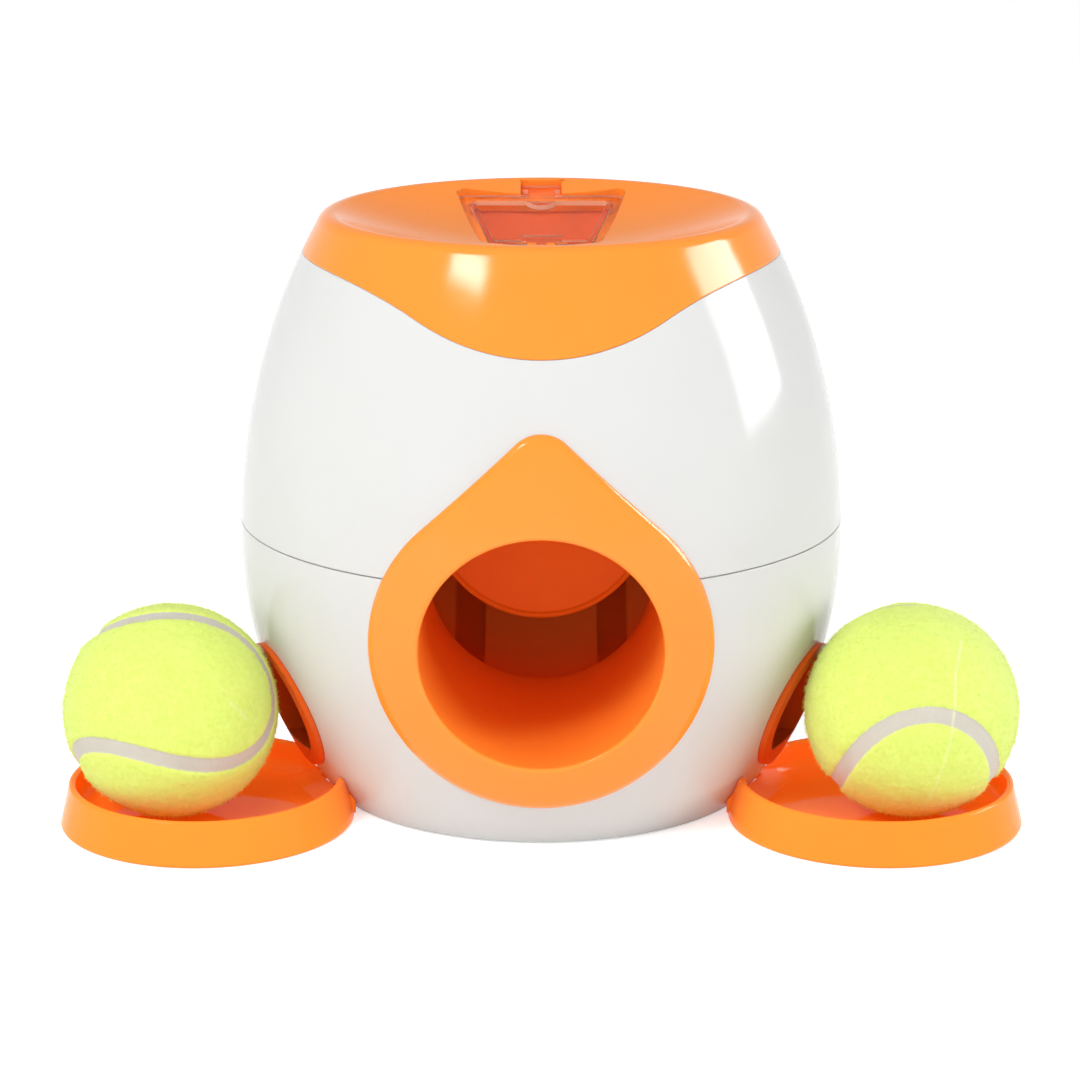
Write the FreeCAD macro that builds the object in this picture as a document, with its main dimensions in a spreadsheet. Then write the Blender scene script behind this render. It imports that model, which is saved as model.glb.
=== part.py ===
import FreeCAD, Part
import math
import os

import Sketcher

# A ball-operated treat machine for dogs, in millimetres. +Z is up, the front faces -Y,
# and the origin lies on the floor under the middle of the barrel.

DIMENSIONS = [
    # barrel: one skin turned about Z, from a lower arc and an upper arc
    ("foot_radius", 66.5, "barrel radius at the floor"),
    ("belly_radius", 93.1, "widest barrel radius"),
    ("belly_height", 80, "height of the widest place"),
    ("upper_arc", 200, "radius of the skin's arc above the belly"),
    ("shell_wall", 2.2, "wall of the shells and the cap"),
    ("foot_gap", 0.6, "lower shell's edge above the floor"),
    ("parting_height", 86, "joint between lower and upper shell"),
    ("join_gap", 0.15, "half the gap of a visible joint"),
    # cap
    ("bowl_radius", 160, "spherical dish on top"),
    ("bowl_floor", 167, "lowest place of the dish"),
    ("crest_round", 4.5, "round of the rim between dish and skin"),
    ("lobe_low", 150, "lowest place of the cap's front and rear lobes"),
    ("lobe_high", 168.2, "lower edge of the cap at its sides"),
    ("lobe_half_width", 72, "from the lobe's middle to the flat edge"),
    ("cap_gap", 0.1, "between the cap's wavy edge and the upper shell"),
    # hatch in the dish
    ("hatch_slope", 12.4, "degrees that the hatch falls to the front"),
    ("hatch_y", 9, "hatch frame's origin at the hinge"),
    ("hatch_z", 165.3, "ledge height at the hinge"),
    ("hatch_front", 17.8, "half width at the hinge"),
    ("hatch_rear", 27.2, "half width at the far edge"),
    ("hatch_length", 45.6, "from the hinge to the far edge"),
    ("lid_wall", 1.4, "walls of the clear lid's pan"),
    ("tab_reach", 54, "far end of the finger tab from the hinge"),
    ("ledge", 3, "width of the ledge under the lid"),
    ("hinge_lift", 1.3, "hinge axis above the ledge"),
    # tunnel and its teardrop plate
    ("tunnel_radius", 35.5, "bore that takes the ball"),
    ("tunnel_height", 65, "axis of the tunnel"),
    ("tunnel_wall", 2, "wall of the tunnel"),
    ("tunnel_end", 5, "inner end of the tunnel"),
    ("plate_radius", 50.3, "round part of the teardrop plate"),
    ("plate_slope", 43, "degrees of the plate's shoulders"),
    ("plate_apex", 130, "top of the plate"),
    ("tip_round", 10.5, "round of the plate's top"),
    ("plate_proud", 1.8, "plate thickness over the skin"),
    # backstop cup behind the tunnel
    ("cup_radius", 37, "inner radius of the rear wall, seen from above"),
    ("cup_centre", 15, "where the straight sides end"),
    ("cup_roof", 103, "underside of the roof"),
    # paddle, rotor and gears
    ("axle_y", 2, "paddle axle"),
    ("axle_z", 108, "paddle axle"),
    ("shaft_radius", 2, "paddle and rotor shafts"),
    ("flap_radius", 34.8, "round edge of the flap"),
    ("flap_centre", 84, "height of the flap's centre"),
    ("flap_top", 92, "top of the flap's wide part"),
    ("gear_module", 1, "tooth size"),
    ("pinion_teeth", 17, "rotor pinion"),
    ("gear_teeth", 51, "paddle gear, of which a sector is made"),
    ("gear_width", 3, "both gears"),
    ("gear_x", 17.5, "near face of both gears"),
    ("rotor_y", 13, "rotor axis"),
    ("rotor_radius", 10, "metering rotor"),
    ("rotor_half", 12, "half the rotor's length"),
    # splitter roof and chutes
    ("ridge_height", 124.5, "ridge of the splitter roof"),
    ("eave_height", 107, "edges of the splitter roof"),
    ("eave_x", 39.5, "half the splitter's width"),
    ("splitter_front", 8, "front edge of the splitter"),
    ("splitter_back", 28.8, "rear edge of the splitter"),
    ("chute_wall", 1.6, "wall of the chutes"),
    # outlets
    ("outlet_bearing", 67, "degrees from the front"),
    ("outlet_height", 33, "axis of the outlets"),
    ("outlet_radius", 16, "round opening"),
    ("outlet_rim", 19.5, "outer radius of the frame"),
    ("outlet_proud", 1.8, "frame thickness over the skin"),
    ("outlet_sill", 21, "flat sill in the opening"),
    # trays
    ("tray_bearing", 66.7, "degrees from the front"),
    ("tray_reach", 110.5, "from the barrel's axis to the tray's"),
    ("tray_foot", 44.5, "outer radius on the floor"),
    ("tray_lip", 41.8, "outer radius under the lip"),
    ("tray_height", 13.4, "top of the lip"),
    ("tray_wall", 2.2, "wall, lip width"),
    ("tray_floor", 3.2, "inner floor"),
    ("tray_gap", 0.4, "between tray and barrel"),
    # balls
    ("ball_radius", 32.5, "tennis ball"),
    ("felt_inside", 29.3, "outside of the rubber core"),
    ("core_inside", 26, "inside of the rubber core"),
    ("ball_bearing", 66.6, "degrees from the front"),
    ("ball_reach", 121.4, "from the barrel's axis"),
    ("ball_height", 36, "centre of the ball"),
    # base
    ("plate_bottom", 2, "underside of the base plate"),
    ("plate_thickness", 2.2, "base plate"),
    ("base_radius", 64.9, "base plate"),
    ("pad_radius", 7, "rubber feet"),
    ("pad_circle", 46, "circle of the feet"),
    ("screw_circle", 60, "circle of the base screws"),
]

DOC = FreeCAD.newDocument("treat_machine")
SHEET = DOC.addObject("Spreadsheet::Sheet", "Dims")
V = FreeCAD.Vector
PARTS = []


class Size:
    """A length or an angle: its value and the expression that gives it from the sheet."""

    def __init__(self, value, text):
        self.value = float(value)
        self.text = text

    def join(self, sign, other, value):
        return Size(value, "(%s %s %s)" % (self.text, sign, size(other).text))

    def __add__(self, other):
        return self.join("+", other, self.value + size(other).value)

    def __sub__(self, other):
        return self.join("-", other, self.value - size(other).value)

    def __mul__(self, other):
        return self.join("*", other, self.value * size(other).value)

    def __truediv__(self, other):
        return self.join("/", other, self.value / size(other).value)

    def __radd__(self, other):
        return size(other) + self

    def __rsub__(self, other):
        return size(other) - self

    def __rmul__(self, other):
        return size(other) * self

    def __neg__(self):
        return Size(-self.value, "(0 - %s)" % self.text)


def size(amount):
    """A plain number as a Size; a Size as it is."""
    if isinstance(amount, Size):
        return amount
    text = "%.9g" % amount
    return Size(amount, text if amount >= 0 else "(0 - %.9g)" % -amount)


def number(amount):
    """The value of a number or a Size."""
    return size(amount).value


def root(amount):
    return Size(math.sqrt(amount.value), "sqrt(%s)" % amount.text)


def sine(angle):
    return Size(math.sin(math.radians(angle.value)), "sin(%s * 1 deg)" % angle.text)


def cosine(angle):
    return Size(math.cos(math.radians(angle.value)), "cos(%s * 1 deg)" % angle.text)


def read_dimensions():
    """Fill the sheet and give back each dimension as a Size."""
    sizes = {}
    for row, (name, value, meaning) in enumerate(DIMENSIONS, start=1):
        SHEET.set("A%d" % row, name)
        SHEET.set("B%d" % row, str(value))
        SHEET.set("C%d" % row, meaning)
        SHEET.setAlias("B%d" % row, name)
        sizes[name] = Size(value, "Dims." + name)
    DOC.recompute()
    return sizes


D = read_dimensions()


# ---------------------------------------------------------------- helpers


def bind(item, path, amount):
    """Tie a property to the sheet when its amount comes from there."""
    if isinstance(amount, Size):
        item.setExpression(path, amount.text)


def set_sizes(item, **amounts):
    for key, amount in amounts.items():
        setattr(item, key, number(amount))
        bind(item, key, amount)


def locate(item, at=(0, 0, 0), axis=(0, 0, 1), angle=0):
    """Put an object at a point, turned about an axis, both tied to the sheet."""
    turn = FreeCAD.Rotation(V(*axis), number(angle))
    item.Placement = FreeCAD.Placement(V(*[number(a) for a in at]), turn)
    for letter, amount in zip("xyz", at):
        bind(item, "Placement.Base." + letter, amount)
    bind(item, "Placement.Rotation.Angle", angle)
    return item


ALONG = {"X": ((0, 1, 0), 90), "Y": ((1, 0, 0), -90), "Z": ((0, 0, 1), 0)}


def cylinder(name, radius, length, at, along="Z"):
    """A cylinder that starts at a point and runs along an axis."""
    item = DOC.addObject("Part::Cylinder", name)
    set_sizes(item, Radius=radius, Height=length)
    return locate(item, at, *ALONG[along])


def rod(name, radius, start, end):
    """A cylinder from one point to another, in any direction."""
    item = DOC.addObject("Part::Cylinder", name)
    run = V(*end) - V(*start)
    set_sizes(item, Radius=radius, Height=run.Length)
    item.Placement = FreeCAD.Placement(V(*start), FreeCAD.Rotation(V(0, 0, 1), run))
    return item


def box(name, low, high):
    """A box between two corners."""
    item = DOC.addObject("Part::Box", name)
    spans = [b - a for a, b in zip(low, high)]
    set_sizes(item, Length=spans[0], Width=spans[1], Height=spans[2])
    return locate(item, low)


def ball(name, radius, at):
    item = DOC.addObject("Part::Sphere", name)
    set_sizes(item, Radius=radius)
    return locate(item, at)


def fuse(name, items):
    item = DOC.addObject("Part::MultiFuse", name)
    item.Shapes = items
    return item


def cut(name, base, tools):
    item = DOC.addObject("Part::Cut", name)
    item.Base = base
    item.Tool = tools[0] if len(tools) == 1 else fuse(name + "_tools", tools)
    return item


def common(name, items):
    item = DOC.addObject("Part::MultiCommon", name)
    item.Shapes = items
    return item


def mirrored(name, source):
    """The same piece on the other side of the YZ plane."""
    item = DOC.addObject("Part::Mirroring", name)
    item.Source = source
    item.Base = V(0, 0, 0)
    item.Normal = V(1, 0, 0)
    return item


def keep(label, item):
    """Name a finished sub-part; its label is its file's name."""
    item.Label = label
    PARTS.append(item)
    return item


def arc_middle(start, end, radius):
    """The middle of the short arc between two points: counter-clockwise if radius > 0."""
    chord = end - start
    left = V(-chord.y, chord.x, 0).normalize()
    side = 1 if radius > 0 else -1
    reach = math.sqrt(max(radius * radius - chord.Length ** 2 / 4, 0))
    return (start + end) * 0.5 + left * side * (reach - abs(radius))


def pin_coordinate(sketch, edge, end, kind, amount):
    """Fix one coordinate of an edge's end, on the axis or at its size from the origin."""
    if number(amount) == 0:
        other_axis = -2 if kind == "DistanceX" else -1
        sketch.addConstraint(Sketcher.Constraint("PointOnObject", edge, end, other_axis))
        return
    rule = Sketcher.Constraint(kind, -1, 1, edge, end, number(amount))
    place = sketch.addConstraint(rule)
    bind(sketch, "Constraints[%d]" % place, amount)


def draw(sketch, points):
    """Close an outline in a sketch, tied to the sheet.

    A point is (x, y), or (x, y, radius) where the edge that arrives is an arc:
    counter-clockwise for a positive radius and clockwise for a negative one.
    """
    places = [V(number(p[0]), number(p[1]), 0) for p in points]
    edges = []
    for index, point in enumerate(points):
        start = places[index - 1]
        end = places[index]
        if len(point) == 2:
            edges.append(sketch.addGeometry(Part.LineSegment(start, end)))
            continue
        middle = arc_middle(start, end, number(point[2]))
        edges.append(sketch.addGeometry(Part.Arc(start, middle, end)))
    ends = []
    for index, edge in enumerate(edges):
        first_is_start = (sketch.getPoint(edge, 1) - places[index - 1]).Length < 1e-6
        ends.append((1, 2) if first_is_start else (2, 1))
    for index, point in enumerate(points):
        edge = edges[index]
        following = (index + 1) % len(points)
        pin_coordinate(sketch, edge, ends[index][1], "DistanceX", point[0])
        pin_coordinate(sketch, edge, ends[index][1], "DistanceY", point[1])
        meet = ("Coincident", edge, ends[index][1], edges[following], ends[following][0])
        sketch.addConstraint(Sketcher.Constraint(*meet))
        if len(point) == 3:
            bulge = point[2] if number(point[2]) > 0 else -size(point[2])
            rule = Sketcher.Constraint("Radius", edge, number(bulge))
            place = sketch.addConstraint(rule)
            bind(sketch, "Constraints[%d]" % place, bulge)
    return sketch


def draw_circle(sketch, x, y, radius):
    """A round hole or disc in a sketch, tied to the sheet."""
    circle = Part.Circle(V(number(x), number(y), 0), V(0, 0, 1), number(radius))
    edge = sketch.addGeometry(circle)
    pin_coordinate(sketch, edge, 3, "DistanceX", x)
    pin_coordinate(sketch, edge, 3, "DistanceY", y)
    place = sketch.addConstraint(Sketcher.Constraint("Radius", edge, number(radius)))
    bind(sketch, "Constraints[%d]" % place, radius)
    return sketch


FACING = {
    "XY": FreeCAD.Rotation(),
    "XZ": FreeCAD.Rotation(V(1, 0, 0), 90),
    "YZ": FreeCAD.Rotation(V(0, 1, 0), V(0, 0, 1), V(1, 0, 0), "XYZ"),
}
NORMAL = {"XY": V(0, 0, 1), "XZ": V(0, 1, 0), "YZ": V(1, 0, 0)}


def loose_sketch(name, plane, start, points):
    """A sketch across an axis, at a distance from the origin."""
    sketch = DOC.addObject("Sketcher::SketchObject", name)
    sketch.Placement = FreeCAD.Placement(NORMAL[plane] * number(start), FACING[plane])
    letter = {"XY": "z", "XZ": "y", "YZ": "x"}[plane]
    bind(sketch, "Placement.Base." + letter, start)
    return draw(sketch, points)


def extrude(name, plane, points, start, length):
    """A prism whose outline lies across an axis and which runs along it."""
    item = DOC.addObject("Part::Extrusion", name)
    item.Base = loose_sketch(name + "_outline", plane, start, points)
    item.DirMode = "Custom"
    item.Dir = NORMAL[plane]
    item.Solid = True
    set_sizes(item, LengthFwd=length)
    return item


def revolve(name, points):
    """A solid turned about Z from an outline of (radius, height) points."""
    item = DOC.addObject("Part::Revolution", name)
    item.Source = loose_sketch(name + "_outline", "XZ", 0, points)
    item.Axis = (0, 0, 1)
    item.Base = (0, 0, 0)
    item.Angle = 360
    item.Solid = True
    return item


def body(label, at=(0, 0, 0), axis=(0, 0, 1), angle=0):
    item = DOC.addObject("PartDesign::Body", label)
    return locate(item, at, axis, angle)


def own_plane(owner, role):
    for feature in owner.Origin.OriginFeatures:
        if feature.Role == role:
            return feature
    raise ValueError(role)


def body_sketch(owner, plane, name, lift=0):
    """An empty sketch on one of the body's own origin planes, lifted off it."""
    sketch = owner.newObject("Sketcher::SketchObject", name)
    sketch.AttachmentSupport = [(own_plane(owner, plane + "_Plane"), "")]
    sketch.MapMode = "FlatFace"
    sketch.AttachmentOffset = FreeCAD.Placement(V(0, 0, number(lift)), FreeCAD.Rotation())
    bind(sketch, "AttachmentOffset.Base.z", lift)
    return sketch


def pad(owner, name, sketch, length, midplane=False, backwards=False):
    item = owner.newObject("PartDesign::Pad", name)
    item.Profile = sketch
    item.Midplane = midplane
    item.Reversed = backwards
    set_sizes(item, Length=length)
    return item


def pocket(owner, name, sketch, length, midplane=False, backwards=False):
    item = owner.newObject("PartDesign::Pocket", name)
    item.Profile = sketch
    item.Midplane = midplane
    item.Reversed = backwards
    set_sizes(item, Length=length)
    return item


def turned(owner, kind, name, sketch, axis="V_Axis"):
    """A PartDesign Revolution or Groove about an axis of its sketch."""
    item = owner.newObject("PartDesign::" + kind, name)
    item.Profile = sketch
    item.ReferenceAxis = (sketch, [axis])
    item.Angle = 360
    return item


def round_copies(owner, name, feature, count):
    """Copies of a feature around the body's own Z axis."""
    item = owner.newObject("PartDesign::PolarPattern", name)
    item.Originals = [feature]
    item.Axis = (own_plane(owner, "Z_Axis"), [""])
    item.Angle = 360
    item.Occurrences = count
    owner.Tip = item
    return item


# ---------------------------------------------------------------- the barrel's skin

rise = D["belly_height"]
swell = D["belly_radius"] - D["foot_radius"]
LOWER_ARC = (swell * swell + rise * rise) / (swell * 2)
LOWER_CENTRE = D["belly_radius"] - LOWER_ARC
UPPER_CENTRE = D["belly_radius"] - D["upper_arc"]


def skin(height, inset=0):
    """Radius of the barrel at a height; a positive inset goes into the wall."""
    low = number(height) <= D["belly_height"].value
    arc = (LOWER_ARC if low else D["upper_arc"]) - inset
    above = size(height) - D["belly_height"]
    return (LOWER_CENTRE if low else UPPER_CENTRE) + root(arc * arc - above * above)


def skin_line(bottom, top, inset):
    """Outline points up the skin, with the arc that arrives at each."""
    line = [(skin(bottom, inset), bottom)]
    crosses = number(bottom) < D["belly_height"].value < number(top)
    if crosses:
        line.append((skin(D["belly_height"], inset), D["belly_height"], LOWER_ARC - inset))
    low = number(top) <= D["belly_height"].value
    arc = (LOWER_ARC if low else D["upper_arc"]) - inset
    line.append((skin(top, inset), top, arc))
    return line


def skin_line_down(bottom, top, inset):
    """The same line from its top to its bottom."""
    up = skin_line(bottom, top, inset)
    line = [up[-1][:2]]
    for index in range(len(up) - 1, 0, -1):
        line.append(up[index - 1][:2] + (-up[index][2],))
    return line


def band(name, bottom, top, outside, inside):
    """A ring of the barrel's wall between two insets and two heights."""
    return revolve(name, skin_line(bottom, top, outside) + skin_line_down(bottom, top, inside))


def core(name, bottom, top, inset=0):
    """Everything inside the skin between two heights."""
    return revolve(name, [(0, bottom)] + skin_line(bottom, top, inset) + [(0, top)])


def around(bearing, side):
    """Unit vector away from the barrel's axis at a bearing from the front."""
    angle = math.radians(number(bearing))
    return V(side * math.sin(angle), -math.cos(angle), 0)


def turn_of(bearing, side):
    """Degrees that turn +X to a bearing, on the right (+1) or the left (-1)."""
    return bearing - 90 if side > 0 else 270 - bearing


SIDES = (("left", -1), ("right", 1))

# ---------------------------------------------------------------- shells

BOSS_CIRCLE = 86.5
BOSS_RADIUS = 4.5
SCREW_RADIUS = 1.5


def four_places(radius):
    """The four places at 45 degrees to the front on a circle."""
    corner = radius / math.sqrt(2)
    return [(sx * corner, sy * corner) for sx in (-1, 1) for sy in (-1, 1)]


def shell_bosses(name, bottom, top, hole):
    """Screw posts against the wall, trimmed to the barrel."""
    posts = []
    for index, (x, y) in enumerate(four_places(BOSS_CIRCLE)):
        posts.append(cylinder("%s_post_%d" % (name, index), BOSS_RADIUS, top - bottom, (x, y, bottom)))
    inside = core(name + "_trim", bottom - 1, top + 1, D["shell_wall"] / 2)
    trimmed = common(name + "_trimmed", [fuse(name + "_posts", posts), inside])
    holes = []
    for index, (x, y) in enumerate(four_places(BOSS_CIRCLE)):
        holes.append(cylinder("%s_hole_%d" % (name, index), hole, top - bottom + 2, (x, y, bottom - 1)))
    return cut(name, trimmed, holes)


def tunnel_clearance(name):
    """The round hole that the tunnel passes through, in either shell."""
    radius = D["tunnel_radius"] + D["tunnel_wall"] + 0.2
    return cylinder(name, radius, 60, (0, -110, D["tunnel_height"]), "Y")


def outlet_rod(name, radius, side, near=50, far=120):
    """A bar through the barrel's wall on an outlet's axis."""
    way = around(D["outlet_bearing"], side)
    lift = V(0, 0, D["outlet_height"].value)
    return rod(name, radius, way * near + lift, way * far + lift)


HOOK_LOW = 4.8
HOOK_HIGH = 7.2
HOOK_NEAR = 7
HOOK_WIDE = 6


def hook_slots(side_name, side):
    """Two slots through the lower shell for a tray's hooks."""
    slots = []
    for index, across in enumerate((-HOOK_NEAR - HOOK_WIDE, HOOK_NEAR)):
        name = "slot_%s_%d" % (side_name, index)
        slot = box(name, (60, across - 0.3, HOOK_LOW - 0.3), (80, across + HOOK_WIDE + 0.3, HOOK_HIGH + 0.3))
        turn = turn_of(D["tray_bearing"], side)
        way = FreeCAD.Rotation(V(0, 0, 1), number(turn))
        slot.Placement = FreeCAD.Placement(way.multVec(slot.Placement.Base), way)
        slots.append(slot)
    return slots


def base_boss(name, x, y):
    """A post for a base screw with a rib to the wall."""
    bottom = D["plate_bottom"] + D["plate_thickness"]
    post = cylinder(name + "_post", BOSS_RADIUS, 11, (x, y, bottom))
    rib = box(name + "_rib", (55, -1.5, bottom), (80, 1.5, bottom + 11))
    turn = FreeCAD.Rotation(V(0, 0, 1), math.degrees(math.atan2(y, x)))
    rib.Placement = FreeCAD.Placement(turn.multVec(V(55, -1.5, 0)) + V(0, 0, bottom.value), turn)
    return [post, rib]


def lower_shell():
    top = D["parting_height"] - D["join_gap"]
    wall = band("lower_wall", D["foot_gap"], top, 0, D["shell_wall"])
    ribs = []
    for index, (x, y) in enumerate(four_places(D["screw_circle"].value)):
        ribs += base_boss("base_boss_%d" % index, x, y)
    trim = core("base_boss_trim", 3, 20, D["shell_wall"] / 2)
    bosses = common("base_bosses", [fuse("base_boss_set", ribs), trim])
    solid = fuse("lower_solid", [wall, bosses, shell_bosses("lower_bosses", 74, number(top), 1.7)])
    holes = [tunnel_clearance("lower_tunnel_hole")]
    for name, side in SIDES:
        holes.append(outlet_rod("outlet_hole_" + name, D["outlet_radius"] + 1.8, side))
        holes += hook_slots(name, side)
    for index, (x, y) in enumerate(four_places(D["screw_circle"].value)):
        holes.append(cylinder("base_bore_%d" % index, SCREW_RADIUS, 10, (x, y, 4)))
    keep("lower_shell", cut("lower_shell", solid, holes))


def lobe_region(name, drop):
    """Everything above the cap's wavy lower edge, which may be dropped a little."""
    reach = D["lobe_half_width"]
    lift = D["lobe_high"] - D["lobe_low"]
    wave = (reach * reach / 4 + lift * lift / 4) / lift
    low = D["lobe_low"] - drop
    high = D["lobe_high"] - drop
    middle = (low + high) / 2
    points = [
        (-110, 210),
        (-110, high),
        (-reach, high),
        (-reach / 2, middle, -wave),
        (reach / 2, middle, wave),
        (reach, high, -wave),
        (110, high),
        (110, 210),
    ]
    return extrude(name, "XZ", points, -110, 220)


def upper_shell():
    bottom = D["parting_height"] + D["join_gap"]
    wall = band("upper_wall", bottom, 172, 0, D["shell_wall"])
    ledge = band("upper_ledge", 138, 166, D["shell_wall"] - 0.3, D["shell_wall"] + 1.6)
    inner = D["shell_wall"] + 0.2
    tongue = band("upper_tongue", bottom - 5, bottom + 1, inner, inner + 1.4)
    root_ring = band("tongue_root", bottom, bottom + 4, D["shell_wall"] - 0.3, inner + 1.4)
    bosses = shell_bosses("upper_bosses", number(bottom), 97, 1.4)
    solid = fuse("upper_solid", [wall, ledge, tongue, root_ring, bosses])
    cap_room = common(
        "cap_room",
        [
            lobe_region("cap_room_region", D["cap_gap"]),
            band("cap_room_band", 120, 180, -2, D["shell_wall"] + 0.15),
        ],
    )
    cuts = [cap_room, tunnel_clearance("upper_tunnel_hole")]
    for index, (x, y) in enumerate(four_places(BOSS_CIRCLE)):
        cuts.append(cylinder("tongue_gap_%d" % index, BOSS_RADIUS + 2, 10, (x, y, number(bottom) - 10)))
    keep("upper_shell", cut("upper_shell", solid, cuts))


def crest():
    """Centre of the round between the skin and the dish: it touches both from the wall side."""
    outer = D["upper_arc"] - D["crest_round"]
    inner = D["bowl_radius"] + D["crest_round"]
    gap_r = -UPPER_CENTRE
    gap_z = D["bowl_floor"] + D["bowl_radius"] - D["belly_height"]
    span = gap_r * gap_r + gap_z * gap_z
    along = (outer * outer - inner * inner + span) / (span * 2)
    across = root(outer * outer / span - along * along)
    radius = UPPER_CENTRE + along * gap_r + across * gap_z
    height = D["belly_height"] + along * gap_z - across * gap_r
    return radius, height


def cap_wall():
    """Skirt, crest and dish in one section, before the hatch is cut."""
    radius, height = crest()
    outer = D["upper_arc"] / (D["upper_arc"] - D["crest_round"])
    skin_touch = (
        UPPER_CENTRE + (radius - UPPER_CENTRE) * outer,
        D["belly_height"] + (height - D["belly_height"]) * outer,
    )
    bowl_centre = D["bowl_floor"] + D["bowl_radius"]
    inner = D["bowl_radius"] / (D["bowl_radius"] + D["crest_round"])
    bowl_touch = (radius * inner, bowl_centre + (height - bowl_centre) * inner)
    under = D["bowl_radius"] + D["shell_wall"]
    shoulder = 60
    shoulder_z = bowl_centre - root(under * under - shoulder * shoulder)
    points = [
        (skin(140), 140),
        skin_touch + (D["upper_arc"],),
        bowl_touch + (D["crest_round"],),
        (0, D["bowl_floor"], -D["bowl_radius"]),
        (0, D["bowl_floor"] - D["shell_wall"]),
        (shoulder, shoulder_z, under),
        (skin(172, D["shell_wall"]), 172),
        (skin(140, D["shell_wall"]), 140, -(D["upper_arc"] - D["shell_wall"])),
    ]
    return revolve("cap_wall", points)


# ---------------------------------------------------------------- cap and hatch

HINGE_PIN = 0.75
KNUCKLE = 1.6
LID_CORNER = 3
LID_TOP = 0.7
SEAT = -0.9
PANE = -0.8
WELL_DEPTH = 4.4


def hatch_frame(item, lift=0):
    """Put a piece drawn flat at the hinge's origin onto the sloping ledge."""
    turn = FreeCAD.Rotation(V(1, 0, 0), D["hatch_slope"].value)
    base = V(0, D["hatch_y"].value, D["hatch_z"].value) + turn.multVec(V(0, 0, lift))
    item.Placement = FreeCAD.Placement(base, turn)
    bind(item, "Placement.Rotation.Angle", D["hatch_slope"])
    return item


def hatch_outline(grow, front, rear, corner):
    """The hatch's trapezoid between two distances from the hinge, grown sideways, with round corners."""
    rise = (D["hatch_rear"] - D["hatch_front"]) / D["hatch_length"]
    lean = math.atan(rise.value)
    narrow = D["hatch_front"] + rise * front + grow
    wide = D["hatch_front"] + rise * rear + grow
    blunt = corner * math.tan(math.pi / 4 - lean / 2)
    sharp = corner * math.tan(math.pi / 4 + lean / 2)
    front_side = (narrow + blunt * math.sin(lean), front + blunt * math.cos(lean))
    rear_side = (wide - sharp * math.sin(lean), rear - sharp * math.cos(lean))
    return [
        (blunt - narrow, front, corner),
        (narrow - blunt, front),
        front_side + (corner,),
        rear_side,
        (wide - sharp, rear, corner),
        (sharp - wide, rear),
        (-rear_side[0], rear_side[1], corner),
        (-front_side[0], front_side[1]),
    ]


def hatch_prism(name, low, high, points):
    """A prism on an outline in the hatch's own frame, between two heights over the ledge."""
    owner = body(name)
    sketch = body_sketch(owner, "XY", name + "_outline", low)
    draw(sketch, points)
    pad(owner, name + "_pad", sketch, high - low)
    return hatch_frame(owner)


def hatch_box(name, low, high):
    """A box given in the hatch's own frame."""
    item = box(name, low, high)
    turn = FreeCAD.Rotation(V(1, 0, 0), D["hatch_slope"].value)
    corner = V(*[number(a) for a in low])
    base = V(0, D["hatch_y"].value, D["hatch_z"].value) + turn.multVec(corner)
    item.Placement = FreeCAD.Placement(base, turn)
    return item


def hinge_axis():
    """The hinge's axis in the machine's frame."""
    y = D["hatch_y"] - D["hinge_lift"] * sine(D["hatch_slope"])
    z = D["hatch_z"] + D["hinge_lift"] * cosine(D["hatch_slope"])
    return y, z


def dish_cap():
    y, z = hinge_axis()
    shape = common("cap_shape", [cap_wall(), lobe_region("cap_region", 0)])
    rear = D["hatch_length"]
    well = hatch_prism("hatch_well", -WELL_DEPTH, 1.5, hatch_outline(3, -3.5, rear + 3, 5))
    seat = hatch_box("tab_seat", (-9, rear.value, -WELL_DEPTH), (9, 57.5, 1.5))
    radius = D["bowl_radius"]
    bowl_room = ball("bowl_room", radius, (0, 0, D["bowl_floor"] + radius))
    ears = []
    for name, side in SIDES:
        ears.append(cylinder("cap_boss_" + name, 4, 12, (side * 34, 32, 161)))
    extras = cut("cap_extras", fuse("cap_extra_set", [well, seat] + ears), [bowl_room])
    solid = fuse("cap_solid", [shape, extras])
    recess = hatch_prism("hatch_recess", SEAT, 12, hatch_outline(0.3, 0.8, rear + 0.3, LID_CORNER + 0.3))
    finger_pit = hatch_box("finger_pit", (-6.5, rear.value - 1, -3.1), (6.5, D["tab_reach"].value + 0.5, 12))
    ledge = D["ledge"]
    mouth = hatch_prism("hatch_mouth", -8, 12, hatch_outline(-ledge, 6, rear - ledge, LID_CORNER))
    lug_room = hatch_box("lug_room", (-9.6, -2.4, -1.2), (9.6, 3, 12))
    cuts = [recess, finger_pit, mouth, lug_room]
    for name, side in SIDES:
        cuts.append(cylinder("cap_bore_" + name, 1.4, 9, (side * 34, 32, 160)))
    opened = cut("cap_opened", solid, cuts)
    knuckles = []
    for name, side in SIDES:
        inner = 1.5 if side > 0 else -4.3
        knuckles.append(cylinder("knuckle_" + name, KNUCKLE, 2.8, (inner, y, z), "X"))
        foot = hatch_box("knuckle_foot_" + name, (inner, -KNUCKLE, -2.4), (inner + 2.8, KNUCKLE, 1.3))
        knuckles.append(foot)
    bore = cylinder("knuckle_bore", HINGE_PIN, 24, (-12, y, z), "X")
    keep("dish_cap", cut("dish_cap", fuse("cap_knuckled", [opened] + knuckles), [bore]))
    keep("hatch_hinge_pin", cylinder("hatch_hinge_pin", HINGE_PIN, 18.4, (-9.2, y, z), "X"))


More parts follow.
